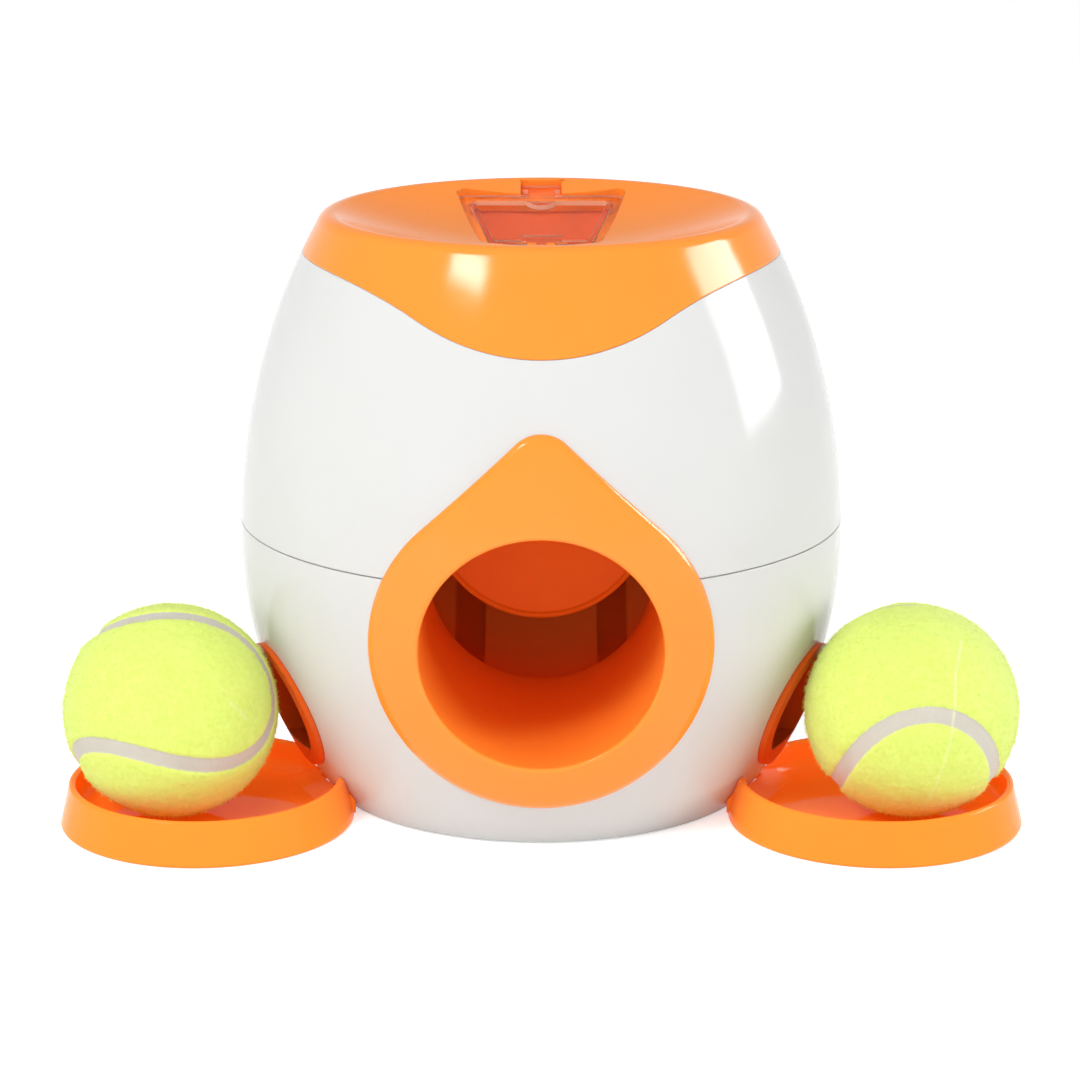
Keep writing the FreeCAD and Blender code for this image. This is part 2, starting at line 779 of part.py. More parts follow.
def tabbed_outline():
    """The lid's outline: the hatch's trapezoid with a T-shaped finger tab at its far edge."""
    rear = D["hatch_length"]
    reach = D["tab_reach"]
    neck = 4.25
    grip = 6
    grip_at = reach - 3.5
    tab = [
        (neck, rear),
        (neck, grip_at),
        (grip, grip_at),
        (grip, reach),
        (-grip, reach),
        (-grip, grip_at),
        (-neck, grip_at),
        (-neck, rear),
    ]
    points = hatch_outline(0, 2.4, rear, LID_CORNER)
    return points[:5] + tab + points[5:]


def hatch_lid():
    """The clear lid: a flat flange, a sunk pane, a finger tab and two hinge lugs."""
    y, z = hinge_axis()
    rear = D["hatch_length"]
    wall = D["lid_wall"]
    inset = -(D["ledge"] + 0.5)
    flange_part = hatch_prism("lid_flange", SEAT, LID_TOP, tabbed_outline())
    pan_outline = hatch_outline(inset, 6.5, rear - 3.5, LID_CORNER - 0.5)
    pan = hatch_prism("lid_pan", PANE - wall.value, 0, pan_outline)
    inner_outline = hatch_outline(inset - wall, 6.5 + wall, rear - 3.5 - wall, LID_CORNER - 1.5)
    hollow = hatch_prism("pan_hollow", PANE, 8, inner_outline)
    hinge_block = hatch_box("hinge_block", (-6.5, 0, -8), (6.5, 12, 8))
    thumb = body("thumb_round")
    thumb_outline = body_sketch(thumb, "XY", "thumb_outline", -8)
    draw_circle(thumb_outline, 0, rear - 4, 4.8)
    pad(thumb, "thumb_pad", thumb_outline, 16)
    room = cut("pan_room", hollow, [hinge_block, hatch_frame(thumb)])
    sunk = cut("lid_sunk", fuse("lid_parts", [flange_part, pan]), [room])
    lugs = []
    for name, side in SIDES:
        near = 4.6 if side > 0 else -8
        lugs.append(cylinder("lug_" + name, KNUCKLE, 3.4, (near, y, z), "X"))
        lugs.append(hatch_box("lug_arm_" + name, (near, 0, -0.3), (near + 3.4, 4, 1.8)))
    bore = cylinder("lug_bore", HINGE_PIN + 0.1, 24, (-12, y, z), "X")
    keep("hatch_lid", cut("hatch_lid", fuse("lid_lugged", [sunk] + lugs), [bore]))


# ---------------------------------------------------------------- tunnel and cup


def teardrop(name, start, length):
    """The plate's outline: a circle with two shoulders that meet in a round tip."""
    slope = D["plate_slope"]
    radius = D["plate_radius"]
    tip = D["tip_round"]
    middle = D["tunnel_height"]
    touch_x = radius * sine(slope)
    touch_z = middle + radius * cosine(slope)
    tip_x = tip * sine(slope)
    tip_z = D["plate_apex"] - tip + tip * cosine(slope)
    points = [
        (0, middle - radius, radius),
        (radius, middle, radius),
        (touch_x, touch_z, radius),
        (tip_x, tip_z),
        (-tip_x, tip_z, tip),
        (-touch_x, touch_z),
        (-radius, middle, radius),
    ]
    return extrude(name, "XZ", points, start, length)


TAB_INNER = 33
TAB_OUTER = 40
TAB_TOP = 112
FLANGE = 2.5
FLANGE_FOOT = 20


def flange(name, start):
    """The tunnel's and the cup's matching flanges, before their bores."""
    roof = D["cup_roof"]
    plate = box(name + "_plate", (-TAB_OUTER, start, FLANGE_FOOT), (TAB_OUTER, start + FLANGE, roof))
    tabs = []
    for side_name, side in SIDES:
        low = TAB_INNER if side > 0 else -TAB_OUTER
        corner = (low, start, roof - 1)
        opposite = (low + TAB_OUTER - TAB_INNER, start + FLANGE, TAB_TOP)
        tabs.append(box("%s_tab_%s" % (name, side_name), corner, opposite))
    return fuse(name, [plate] + tabs)


def flange_bolts():
    """Places of the four screws that hold cup and tunnel together."""
    return [(side * x, z) for x, z in ((25, 24), (36.5, 108.5)) for side in (-1, 1)]


def flange_bores(name, radius):
    bores = []
    for index, (x, z) in enumerate(flange_bolts()):
        bores.append(cylinder("%s_%d" % (name, index), radius, 20, (x, -5, z), "Y"))
    return bores


def entry_plate():
    """The teardrop trim on the barrel's front, with the tunnel's mouth through it."""
    shape = common(
        "plate_shape",
        [
            teardrop("teardrop", -110, 70),
            band("plate_band", 5, 140, -D["plate_proud"], 0),
        ],
    )
    mouth = cylinder("plate_mouth", D["tunnel_radius"], 80, (0, -115, D["tunnel_height"]), "Y")
    keep("entry_plate", cut("entry_plate", shape, [mouth]))


def entry_tunnel():
    """The tube that takes the ball, from the back of the plate to the cup."""
    end = D["tunnel_end"]
    middle = D["tunnel_height"]
    radius = D["tunnel_radius"]
    outer = cylinder("tunnel_outer", radius + D["tunnel_wall"], end + 110, (0, -110, middle), "Y")
    tube = common("tunnel_tube", [outer, core("tunnel_trim", 5, 140)])
    bore = cylinder("tunnel_bore", radius, end + 120, (0, -115, middle), "Y")
    keep("entry_tunnel", cut("entry_tunnel", tube, [bore]))


def tunnel_collar():
    """The flat collar round the tunnel's rear end, screwed to the cup."""
    end = D["tunnel_end"]
    radius = D["tunnel_radius"] + D["tunnel_wall"]
    seat = cylinder("collar_seat", radius, 20, (0, end - 10, D["tunnel_height"]), "Y")
    hub_room = box("hub_room", (-24, -10, 101.4), (24, end + 1, 104))
    cuts = [seat, hub_room] + flange_bores("tunnel_screw_bore", 1.2)
    keep("tunnel_collar", cut("tunnel_collar", flange("collar_plate", end - FLANGE), cuts))


def cup_block(name, radius, low, high, front):
    """A block with a straight front and a half-round rear, seen from above."""
    centre = D["cup_centre"]
    points = [
        (radius, front),
        (radius, centre),
        (0, centre + radius, radius),
        (-radius, centre, radius),
        (-radius, front),
    ]
    return extrude(name, "XY", points, low, high - low)


def cup_form(name, grow, roof, front):
    """The cup's hollow, grown all round: its floor curves up into the rear wall, so the ball rolls back."""
    floor = D["tunnel_height"] - D["tunnel_radius"]
    curve = D["cup_centre"] + D["cup_radius"] - D["tunnel_end"]
    middle = floor + curve
    block = cup_block(name + "_block", D["cup_radius"] + grow, floor - grow, roof, front)
    ramp = ball(name + "_ramp", curve + grow, (0, D["tunnel_end"], middle))
    above = box(name + "_above", (-60, -20, middle), (60, 80, roof + 1))
    return common(name, [block, fuse(name + "_limits", [ramp, above])])


POST_NEAR = 24
POST_WIDE = 4
STRIP_DEPTH = 0.9


def backstop_cup():
    wall = 2
    floor = D["tunnel_height"] - D["tunnel_radius"]
    roof = D["cup_roof"]
    end = D["tunnel_end"]
    outside = cup_form("cup_outside", wall, roof + wall, end)
    inside = cup_form("cup_inside", 0, roof, end - 2)
    deep = cup_form("cup_deep", STRIP_DEPTH, roof - 1, end)
    strips = []
    for name, side in SIDES:
        low = 18 if side > 0 else -27.5
        strips.append(box("strip_%s" % name, (low, 14, 30), (low + 9.5, 60, 103)))
    leg = box("cup_leg", (-12, 30, D["plate_bottom"] + D["plate_thickness"]), (12, 38, floor + 14))
    foot = box("cup_foot", (-12, 26, D["plate_bottom"] + D["plate_thickness"]), (12, 42, 8))
    posts = []
    for name, side in SIDES:
        low = POST_NEAR if side > 0 else -POST_NEAR - POST_WIDE
        posts.append(box("post_" + name, (low, -3, 104), (low + POST_WIDE, 7.5, 113)))
    solid = fuse("cup_solid", [outside, leg, foot, flange("cup_flange", D["tunnel_end"])] + posts)
    slot = box("neck_slot", (-16.5, 3, 101), (16.5, 19, 107))
    gear_gap = box("gear_gap", (16, 3, 102), (POST_NEAR, 9, 107))
    axle = cylinder("post_bore", 3.2, 80, (-40, D["axle_y"], D["axle_z"]), "X")
    screw = cylinder("leg_bore", SCREW_RADIUS, 12, (0, 34, 4))
    ribs = common("cup_strips", [deep, fuse("strip_set", strips)])
    cuts = [inside, ribs, slot, gear_gap, axle, screw] + flange_bores("cup_screw_bore", 1.0)
    keep("backstop_cup", cut("backstop_cup", solid, cuts))


# ---------------------------------------------------------------- paddle

HUB_HALF = 15
WEIGHT_LOW = 59
WEIGHT_HIGH = 69


def sphere_radius(reach, sag):
    """Radius of a shallow dish from its half width and its depth."""
    return (reach * reach + sag * sag) / (2 * sag)


def paddle_flap():
    """A dished flap with a rim, hanging from a hub by a short neck."""
    flap = body("paddle_flap")
    centre = D["flap_centre"]
    edge = D["flap_radius"]
    dish = body_sketch(flap, "YZ", "dish_outline")
    bead = 1.4
    front = 5.4
    inner = edge - bead
    face = front + 0.8
    face_sag = 2.2
    rear = front + 2.2
    rear_sag = 2.8
    points = [
        (face + face_sag, centre),
        (face, centre - inner, -sphere_radius(inner, face_sag)),
        (front, centre - inner),
        (front, centre - edge),
        (rear, centre - edge),
        (rear + rear_sag, centre, sphere_radius(edge, rear_sag)),
    ]
    draw(dish, points)
    line = Part.LineSegment(V(0, centre.value, 0), V(20, centre.value, 0))
    axis = dish.addGeometry(line, True)
    dish.addConstraint(Sketcher.Constraint("Horizontal", axis))
    pin_coordinate(dish, axis, 1, "DistanceY", centre)
    pin_coordinate(dish, axis, 1, "DistanceX", 0)
    pin_coordinate(dish, axis, 2, "DistanceX", 20)
    turned(flap, "Revolution", "dish", dish, "Axis0")
    trim = body_sketch(flap, "XZ", "flap_trim_outline", -30)
    draw(trim, [(-50, D["flap_top"]), (50, D["flap_top"]), (50, 130), (-50, 130)])
    pocket(flap, "flap_trim", trim, 80, midplane=True)
    neck = body_sketch(flap, "YZ", "neck_outline")
    axle_y = D["axle_y"]
    axle_z = D["axle_z"]
    hub = 4
    profile = [
        (8.6, 86),
        (11, 86),
        (10, 102),
        (axle_y + hub, axle_z),
        (axle_y, axle_z + hub, hub),
        (axle_y - hub, axle_z, hub),
        (axle_y, axle_z - hub, hub),
        (6.5, 102),
    ]
    draw(neck, profile)
    pad(flap, "neck", neck, HUB_HALF * 2, midplane=True)
    boss = body_sketch(flap, "YZ", "weight_seat_outline")
    draw(boss, [(9, WEIGHT_LOW), (12, WEIGHT_LOW), (12, WEIGHT_HIGH), (9.5, WEIGHT_HIGH)])
    pad(flap, "weight_seat", boss, 30, midplane=True)
    bore = body_sketch(flap, "YZ", "axle_bore_outline")
    draw_circle(bore, axle_y, axle_z, D["shaft_radius"])
    pocket(flap, "axle_bore", bore, 60, midplane=True)
    bolts = body_sketch(flap, "XZ", "weight_bolt_outline", -12)
    for side in (-1, 1):
        draw_circle(bolts, side * 8, (WEIGHT_LOW + WEIGHT_HIGH) / 2, 1.1)
    pocket(flap, "weight_bolt_bores", bolts, 2.4, backwards=True)
    keep("paddle_flap", flap)


def paddle_weight():
    """A steel bar that brings the flap back, with its two screws."""
    middle = (WEIGHT_LOW + WEIGHT_HIGH) / 2
    bar = box("weight_bar", (-14, 12, WEIGHT_LOW), (14, 17, WEIGHT_HIGH))
    bores = [cylinder("weight_bore_%d" % side, 1.2, 9, (side * 8, 10, middle), "Y") for side in (-1, 1)]
    keep("paddle_weight", cut("paddle_weight", bar, bores))
    screws = []
    for side in (-1, 1):
        x = side * 8
        shank = cylinder("weight_shank_%d" % side, 1.1, 7.1, (x, 9.9, middle), "Y")
        head = cylinder("weight_head_%d" % side, 2.4, 1.5, (x, 17, middle), "Y")
        slot = box("weight_slot_%d" % side, (x - 3, 17.8, middle - 0.4), (x + 3, 19, middle + 0.4))
        whole = fuse("weight_screw_body_%d" % side, [shank, head])
        screws.append(cut("weight_screw_%d" % side, whole, [slot]))
    keep("weight_screws", fuse("weight_screws", screws))


CLIP_AT = 30
CLIP_WIDE = 0.8


def grooved_shaft(name, low, high, y, z, grooves):
    """A shaft along X with narrow grooves for its clips."""
    shaft = cylinder(name + "_bar", D["shaft_radius"], high - low, (low, y, z), "X")
    rings = []
    for index, x in enumerate(grooves):
        outer = cylinder("%s_ring_%d" % (name, index), D["shaft_radius"] + 1, CLIP_WIDE, (x, y, z), "X")
        inner = cylinder("%s_neck_%d" % (name, index), D["shaft_radius"] - 0.5, CLIP_WIDE, (x, y, z), "X")
        rings.append(cut("%s_groove_%d" % (name, index), outer, [inner]))
    return cut(name, shaft, rings)


def clip(name, x, y, z):
    """A C-shaped retaining clip around a shaft's groove."""
    disc = cylinder(name + "_disc", D["shaft_radius"] + 2, CLIP_WIDE - 0.1, (x + 0.05, y, z), "X")
    hole = cylinder(name + "_hole", D["shaft_radius"] - 0.45, 3, (x - 1, y, z), "X")
    gap = box(name + "_gap", (x - 1, y - 1.4, z), (x + 2, y + 1.4, z + 6))
    return cut(name, disc, [hole, gap])


def bush(name, near, outward, y, z):
    """A flanged bush in a 4 mm or thinner wall; the flange is on the outside."""
    wide = POST_WIDE
    low = near if outward > 0 else near - wide
    rim = near + wide if outward > 0 else near - wide - 1
    sleeve = cylinder(name + "_sleeve", 3.2, wide, (low, y, z), "X")
    collar = cylinder(name + "_collar", 3.9, 1, (rim, y, z), "X")
    bore = cylinder(name + "_bore", D["shaft_radius"] + 0.08, wide + 4, (low - 2, y, z), "X")
    return cut(name, fuse(name + "_solid", [sleeve, collar]), [bore])


# ---------------------------------------------------------------- gears

PRESSURE_ANGLE = math.radians(20)
BACKLASH = 0.12


def involute(base, radius):
    """Polar angle of an involute where it reaches a radius."""
    roll = math.sqrt(max((radius / base) ** 2 - 1, 0))
    return roll - math.atan(roll)


def gear_wire(teeth, first, last):
    """Outline of some or all teeth of an involute gear about the origin, in the YZ plane.

    first and last are tooth numbers; the gap before tooth 0 starts half a pitch early.
    """
    module = D["gear_module"].value
    pitch = module * teeth / 2
    base = pitch * math.cos(PRESSURE_ANGLE)
    tip = pitch + module
    foot = pitch - 1.25 * module
    step = 2 * math.pi / teeth
    half = step / 4 - BACKLASH / (2 * pitch) + involute(base, pitch)
    low = max(base, foot + 0.05)

    def at(radius, angle):
        return V(0, radius * math.sin(angle), radius * math.cos(angle))

    def flank(centre, side):
        radii = [low + (tip - low) * k / 2 for k in range(3)]
        return [at(r, centre + side * (half - involute(base, r))) for r in radii]

    edges = []
    for tooth in range(first, last + 1):
        centre = tooth * step
        rise_side = flank(centre, -1)
        fall_side = flank(centre, 1)[::-1]
        start = at(foot, centre - step / 2)
        near_foot = at(foot, centre - half)
        far_foot = at(foot, centre + half)
        end = at(foot, centre + step / 2)
        edges.append(Part.Arc(start, at(foot, centre - (step / 2 + half) / 2), near_foot).toShape())
        edges.append(Part.LineSegment(near_foot, rise_side[0]).toShape())
        edges.append(Part.Arc(*rise_side).toShape())
        edges.append(Part.Arc(rise_side[2], at(tip, centre), fall_side[0]).toShape())
        edges.append(Part.Arc(*fall_side).toShape())
        edges.append(Part.LineSegment(fall_side[2], far_foot).toShape())
        edges.append(Part.Arc(far_foot, at(foot, centre + (step / 2 + half) / 2), end).toShape())
    return edges, at(foot, first * step - step / 2), at(foot, last * step + step / 2)


def centre_distance():
    return D["gear_module"] * (D["pinion_teeth"] + D["gear_teeth"]) / 2


def rotor_height():
    aside = D["rotor_y"] - D["axle_y"]
    reach = centre_distance()
    return D["axle_z"] + root(reach * reach - aside * aside)


def mesh_angle():
    """Degrees from upright of the line between the two gears' axes."""
    aside = D["rotor_y"].value - D["axle_y"].value
    return math.degrees(math.asin(aside / centre_distance().value))


def paddle_gear():
    """A sector gear on the paddle's shaft, long enough for the paddle's whole swing."""
    teeth = int(D["gear_teeth"].value)
    step = 360 / teeth
    edges, start, end = gear_wire(teeth, -1, 6)
    hub = 5.5
    left = V(start).normalize() * hub
    right = V(end).normalize() * hub
    edges.append(Part.LineSegment(end, right).toShape())
    edges.append(Part.LineSegment(right, left).toShape())
    edges.append(Part.LineSegment(left, start).toShape())
    width = D["gear_width"].value
    sector = Part.Face(Part.Wire(Part.__sortEdges__(edges))).extrude(V(width, 0, 0))
    disc = Part.makeCylinder(hub, 8, V(-2, 0, 0), V(1, 0, 0))
    bore = Part.makeCylinder(D["shaft_radius"].value, 20, V(-5, 0, 0), V(1, 0, 0))
    item = DOC.addObject("Part::Feature", "paddle_gear")
    item.Shape = sector.fuse(disc).cut(bore)
    place = V(D["gear_x"].value, D["axle_y"].value, D["axle_z"].value)
    item.Placement = FreeCAD.Placement(place, FreeCAD.Rotation(V(1, 0, 0), -(mesh_angle() + step * 0.5)))
    keep("paddle_gear", item)


def rotor_pinion():
    """The small gear on the rotor's shaft, a gap turned to the sector's tooth."""
    teeth = int(D["pinion_teeth"].value)
    edges = gear_wire(teeth, 0, teeth - 1)[0]
    width = D["gear_width"].value
    wheel = Part.Face(Part.Wire(Part.__sortEdges__(edges))).extrude(V(width, 0, 0))
    disc = Part.makeCylinder(5, 5, V(0, 0, 0), V(1, 0, 0))
    bore = Part.makeCylinder(D["shaft_radius"].value, 20, V(-5, 0, 0), V(1, 0, 0))
    item = DOC.addObject("Part::Feature", "rotor_pinion")
    item.Shape = wheel.fuse(disc).cut(bore)
    place = V(D["gear_x"].value, D["rotor_y"].value, number(rotor_height()))
    item.Placement = FreeCAD.Placement(place, FreeCAD.Rotation(V(1, 0, 0), 180 - mesh_angle()))
    keep("rotor_pinion", item)


def shafts():
    y = D["axle_y"]
    z = D["axle_z"]
    shaft = grooved_shaft("paddle_shaft", -31.6, 31.6, y, z, (-CLIP_AT - CLIP_WIDE, CLIP_AT))
    keep("paddle_shaft", shaft)
    clips = [clip("clip_left", -CLIP_AT - CLIP_WIDE, y, z), clip("clip_right", CLIP_AT, y, z)]
    keep("shaft_clips", fuse("shaft_clips", clips))
    bushes = [bush("bush_left", -POST_NEAR, -1, y, z), bush("bush_right", POST_NEAR, 1, y, z)]
    keep("shaft_bushes", fuse("shaft_bushes", bushes))


# ---------------------------------------------------------------- rotor and hopper

CHEEK = 2.2
CASING_WALL = 2


def treat_rotor():
    """A drum with three scoops; each third of a turn drops one helping."""
    rotor = body("treat_rotor", (0, D["rotor_y"], rotor_height()), (0, 1, 0), 90)
    disc = body_sketch(rotor, "XY", "drum_outline")
    draw_circle(disc, 0, 0, D["rotor_radius"])
    pad(rotor, "drum", disc, D["rotor_half"] * 2, midplane=True)
    scoop = body_sketch(rotor, "XY", "scoop_outline")
    draw_circle(scoop, D["rotor_radius"] - 0.5, 0, 5.5)
    first = pocket(rotor, "scoop", scoop, D["rotor_half"] * 2 - 3, midplane=True)
    round_copies(rotor, "scoops", first, 3)
    bore = body_sketch(rotor, "XY", "rotor_bore_outline")
    draw_circle(bore, 0, 0, D["shaft_radius"])
    pocket(rotor, "rotor_bore", bore, D["rotor_half"] * 3, midplane=True)
    keep("treat_rotor", rotor)


def rotor_shaft():
    y = D["rotor_y"]
    z = rotor_height()
    keep("rotor_shaft", cylinder("rotor_shaft", D["shaft_radius"], 43, (-19, y, z), "X"))
    cheek = D["rotor_half"] + 0.4
    bushes = []
    for name, side in SIDES:
        low = cheek if side > 0 else -(cheek + CHEEK + 0.7)
        rim = cheek + CHEEK if side > 0 else -(cheek + CHEEK + 0.7)
        sleeve = cylinder("rotor_sleeve_" + name, 3.2, CHEEK + 0.7, (low, y, z), "X")
        collar = cylinder("rotor_collar_" + name, 4.2, 0.7, (rim, y, z), "X")
        whole = fuse("rotor_bush_body_" + name, [sleeve, collar])
        bore = cylinder("rotor_bush_bore_" + name, D["shaft_radius"] + 0.08, 10, (low - 2, y, z), "X")
        bushes.append(cut("rotor_bush_" + name, whole, [bore]))
    keep("rotor_bushes", fuse("rotor_bushes", bushes))


def frustum(name, low, high, low_z, high_z):
    """A four-sided funnel between two rectangles given as (x half, y front, y rear)."""
    sections = []
    for part, z in ((low, low_z), (high, high_z)):
        half, front, rear = part
        points = [(-half, front), (half, front), (half, rear), (-half, rear)]
        sections.append(loose_sketch("%s_section_%d" % (name, z), "XY", z, points))
    item = DOC.addObject("Part::Loft", name)
    item.Sections = sections
    item.Solid = True
    item.Ruled = True
    return item


def treat_hopper():
    y = D["rotor_y"]
    z = rotor_height()
    inner_x = D["rotor_half"] + 0.4
    outer_x = inner_x + CHEEK
    inner_r = D["rotor_radius"] + 0.5
    outer_r = inner_r + CASING_WALL
    casing = cylinder("casing_outer", outer_r, outer_x * 2, (-outer_x, y, z), "X")
    room = cylinder("casing_inner", inner_r, inner_x * 2, (-inner_x, y, z), "X")
    low = 146
    high = 174
    funnel = frustum("funnel_outer", (outer_x, y - 10, y + 10), (28, 8, 60), low, high)
    hollow = frustum("funnel_inner", (inner_x, y - 8, y + 8), (26, 10, 57.5), low - 0.01, high)
    ears = []
    bores = []
    for name, side in SIDES:
        near = 19 if side > 0 else -39
        ears.append(box("hopper_ear_" + name, (near, 27, 158), (near + 20, 37, 161)))
        bores.append(cylinder("hopper_ear_bore_" + name, 1.7, 8, (side * 34, 32, 155), "Z"))
    solid = fuse("hopper_solid", [casing, funnel] + ears)
    throat = box("hopper_throat", (-inner_x, y - 8, z), (inner_x, y + 8, low + 1))
    drop = box("hopper_drop", (-inner_x, y - 5.5, z - 20), (inner_x, y + 5.5, z))
    above = hatch_box("hopper_top_trim", (-60, -20, -WELL_DEPTH - 0.05), (60, 90, 30))
    axle = cylinder("hopper_axle_bore", 3.2, 60, (-30, y, z), "X")
    cuts = [room, hollow, throat, drop, above, axle] + bores
    keep("treat_hopper", cut("treat_hopper", solid, cuts))


def treat_splitter():
    """A roof that sends what falls on it to the left and to the right."""
    ridge = D["ridge_height"]
    eave = D["eave_height"]
    reach = D["eave_x"]
    thick = 2
    front = D["splitter_front"]
    back = D["splitter_back"]

    def roof(name, over, under, start, length):
        points = [
            (-reach, eave - under),
            (0, ridge - under),
            (reach, eave - under),
            (reach, eave + over),
            (0, ridge + over),
            (-reach, eave + over),
        ]
        return extrude(name, "XZ", points, start, length)

    slab = roof("splitter_slab", 0, thick, front, back - front)
    fence = roof("splitter_fence", 3, thick, front, 1.5)
    gable = roof("splitter_gable", 8, thick, back - thick, thick)
    floor = D["cup_roof"] + 2
    wall = box("splitter_stand", (-30, back - thick, floor), (30, back, eave))
    corners = [(-reach, eave - thick), (reach, eave - thick), (0, ridge - thick)]
    wedge = extrude("splitter_wedge", "XZ", corners, back - thick, thick)
    near = D["gear_x"] - 1
    far = D["gear_x"] + D["gear_width"] + 1
    slot = box("gear_slot", (near, front - 1, 100), (far, back - thick, 130))
    solid = fuse("splitter_solid", [slab, fence, gable, wall, wedge])
    keep("treat_splitter", cut("treat_splitter", solid, [slot]))


CHUTE_BEND = 84
CHUTE_TOP = 112


def chute_solid(name, shrink):
    """One chute on the right side: a straight top, then a turn to the outlet.

    The lower part joins a level rectangle to an upright one that faces the outlet.
    """
    left = number(D["eave_x"]) + 1 + shrink
    right = 65 - shrink
    front = 6 + shrink
    rear = 31 - shrink
    way = around(D["outlet_bearing"], 1)
    across = V(-way.y, way.x, 0)
    half = 14 - shrink
    low = V(0, 0, 22.5 + shrink)
    high = V(0, 0, 47 - shrink)
    middle = way * 73.5
    level = [
        V(left, rear, CHUTE_BEND),
        V(right, rear, CHUTE_BEND),
        V(right, front, CHUTE_BEND),
        V(left, front, CHUTE_BEND),
    ]
    near = middle - across * half
    far = middle + across * half
    upright = [near + low, far + low, far + high, near + high]
    wires = [Part.makePolygon(corners + corners[:1]) for corners in (level, upright)]
    item = DOC.addObject("Part::Feature", name)
    item.Shape = Part.makeLoft(wires, True, True)
    top = box(name + "_top", (left, front, CHUTE_BEND), (right, rear, CHUTE_TOP))
    return fuse(name + "_all", [item, top])


def chutes():
    """Each chute catches what leaves the splitter and brings it to an outlet."""
    outer = chute_solid("chute_outer", 0)
    inner = chute_solid("chute_inner", D["chute_wall"].value)
    right = keep("chute_right", cut("chute_right", outer, [inner]))
    keep("chute_left", mirrored("chute_left", right))


def outlet_frames():
    """Round frames around the side openings, with a flat sill."""
    for name, side in SIDES:
        flat = common(
            "outlet_flange_" + name,
            [
                outlet_rod("outlet_rim_" + name, D["outlet_rim"], side),
                band("outlet_band_" + name, 5, 60, -D["outlet_proud"], 0),
            ],
        )
        tube = common(
            "outlet_tube_" + name,
            [
                outlet_rod("outlet_tube_rod_" + name, D["outlet_radius"] + 1.6, side),
                band("outlet_tube_band_" + name, 5, 60, -D["outlet_proud"], 5.5),
            ],
        )
        opening = common(
            "outlet_opening_" + name,
            [
                outlet_rod("outlet_opening_rod_" + name, D["outlet_radius"], side),
                box("outlet_over_sill_" + name, (-120, -120, D["outlet_sill"]), (120, 120, 80)),
            ],
        )
        solid = fuse("outlet_solid_" + name, [flat, tube])
        keep("outlet_frame_" + name, cut("outlet_frame_" + name, solid, [opening]))


# ---------------------------------------------------------------- trays and balls


def tray(name, side):
    """A round dish trimmed to the barrel, with a ramp and two hooks on the barrel's side."""
    bearing = D["tray_bearing"]
    x = D["tray_reach"] * sine(bearing) * side
    y = -(D["tray_reach"] * cosine(bearing))
    item = body("tray_" + name, (x, y, 0), (0, 0, 1), turn_of(bearing, side))
    section = body_sketch(item, "XZ", "tray_section_" + name)
    lip = D["tray_wall"] / 2
    lip_z = D["tray_height"] - lip
    inner_lip = D["tray_lip"] - D["tray_wall"]
    cove = 4
    points = [
        (0, 0),
        (D["tray_foot"] - 1, 0),
        (D["tray_foot"], 1, 1),
        (D["tray_lip"], lip_z),
        (D["tray_lip"] - lip, D["tray_height"], lip),
        (inner_lip, lip_z, lip),
        (inner_lip + 1, D["tray_floor"] + cove),
        (inner_lip + 1 - cove, D["tray_floor"], -cove),
        (0, D["tray_floor"]),
    ]
    draw(section, points)
    turned(item, "Revolution", "tray_dish_" + name, section)
    ramp = body_sketch(item, "XZ", "ramp_outline_" + name)
    draw(ramp, [(-32, 1), (-32, 3), (-42, 8), (-42, 1)])
    pad(item, "ramp_" + name, ramp, 32, midplane=True)
    room = body_sketch(item, "XZ", "barrel_outline_" + name)
    reach = -D["tray_reach"]
    gap = -D["tray_gap"]
    low = -2
    high = 20
    room_points = [
        (reach, low),
        (reach + skin(low, gap), low),
        (reach + skin(high, gap), high, LOWER_ARC - gap),
        (reach, high),
    ]
    draw(room, room_points)
    line = room.addGeometry(Part.LineSegment(V(number(reach), low, 0), V(number(reach), high, 0)), True)
    room.addConstraint(Sketcher.Constraint("Vertical", line))
    pin_coordinate(room, line, 1, "DistanceX", reach)
    pin_coordinate(room, line, 1, "DistanceY", low)
    pin_coordinate(room, line, 2, "DistanceY", high)
    turned(item, "Groove", "barrel_room_" + name, room, "Axis0")
    for index, near in enumerate((-HOOK_NEAR - HOOK_WIDE, HOOK_NEAR)):
        hook = body_sketch(item, "XZ", "hook_outline_%s_%d" % (name, index), -near)
        profile = [
            (-48, HOOK_LOW),
            (-38.5, HOOK_LOW),
            (-38.5, HOOK_HIGH - 1),
            (-39.5, HOOK_HIGH),
            (-48, HOOK_HIGH),
        ]
        draw(hook, profile)
        pad(item, "hook_%s_%d" % (name, index), hook, HOOK_WIDE, backwards=True)
    keep("tray_" + name, item)


def tennis_ball(name, side):
    """A hollow rubber core in a felt cover."""
    bearing = D["ball_bearing"]
    reach = D["ball_reach"]
    at = (reach * sine(bearing) * side, -(reach * cosine(bearing)), D["ball_height"])
    rubber = ball("rubber_" + name, D["felt_inside"], at)
    hollow = ball("hollow_" + name, D["core_inside"], at)
    keep("ball_core_" + name, cut("ball_core_" + name, rubber, [hollow]))
    felt = ball("felt_outer_" + name, D["ball_radius"], at)
    inside = ball("felt_inner_" + name, D["felt_inside"], at)
    keep("ball_felt_" + name, cut("ball_felt_" + name, felt, [inside]))


# ---------------------------------------------------------------- base and screws


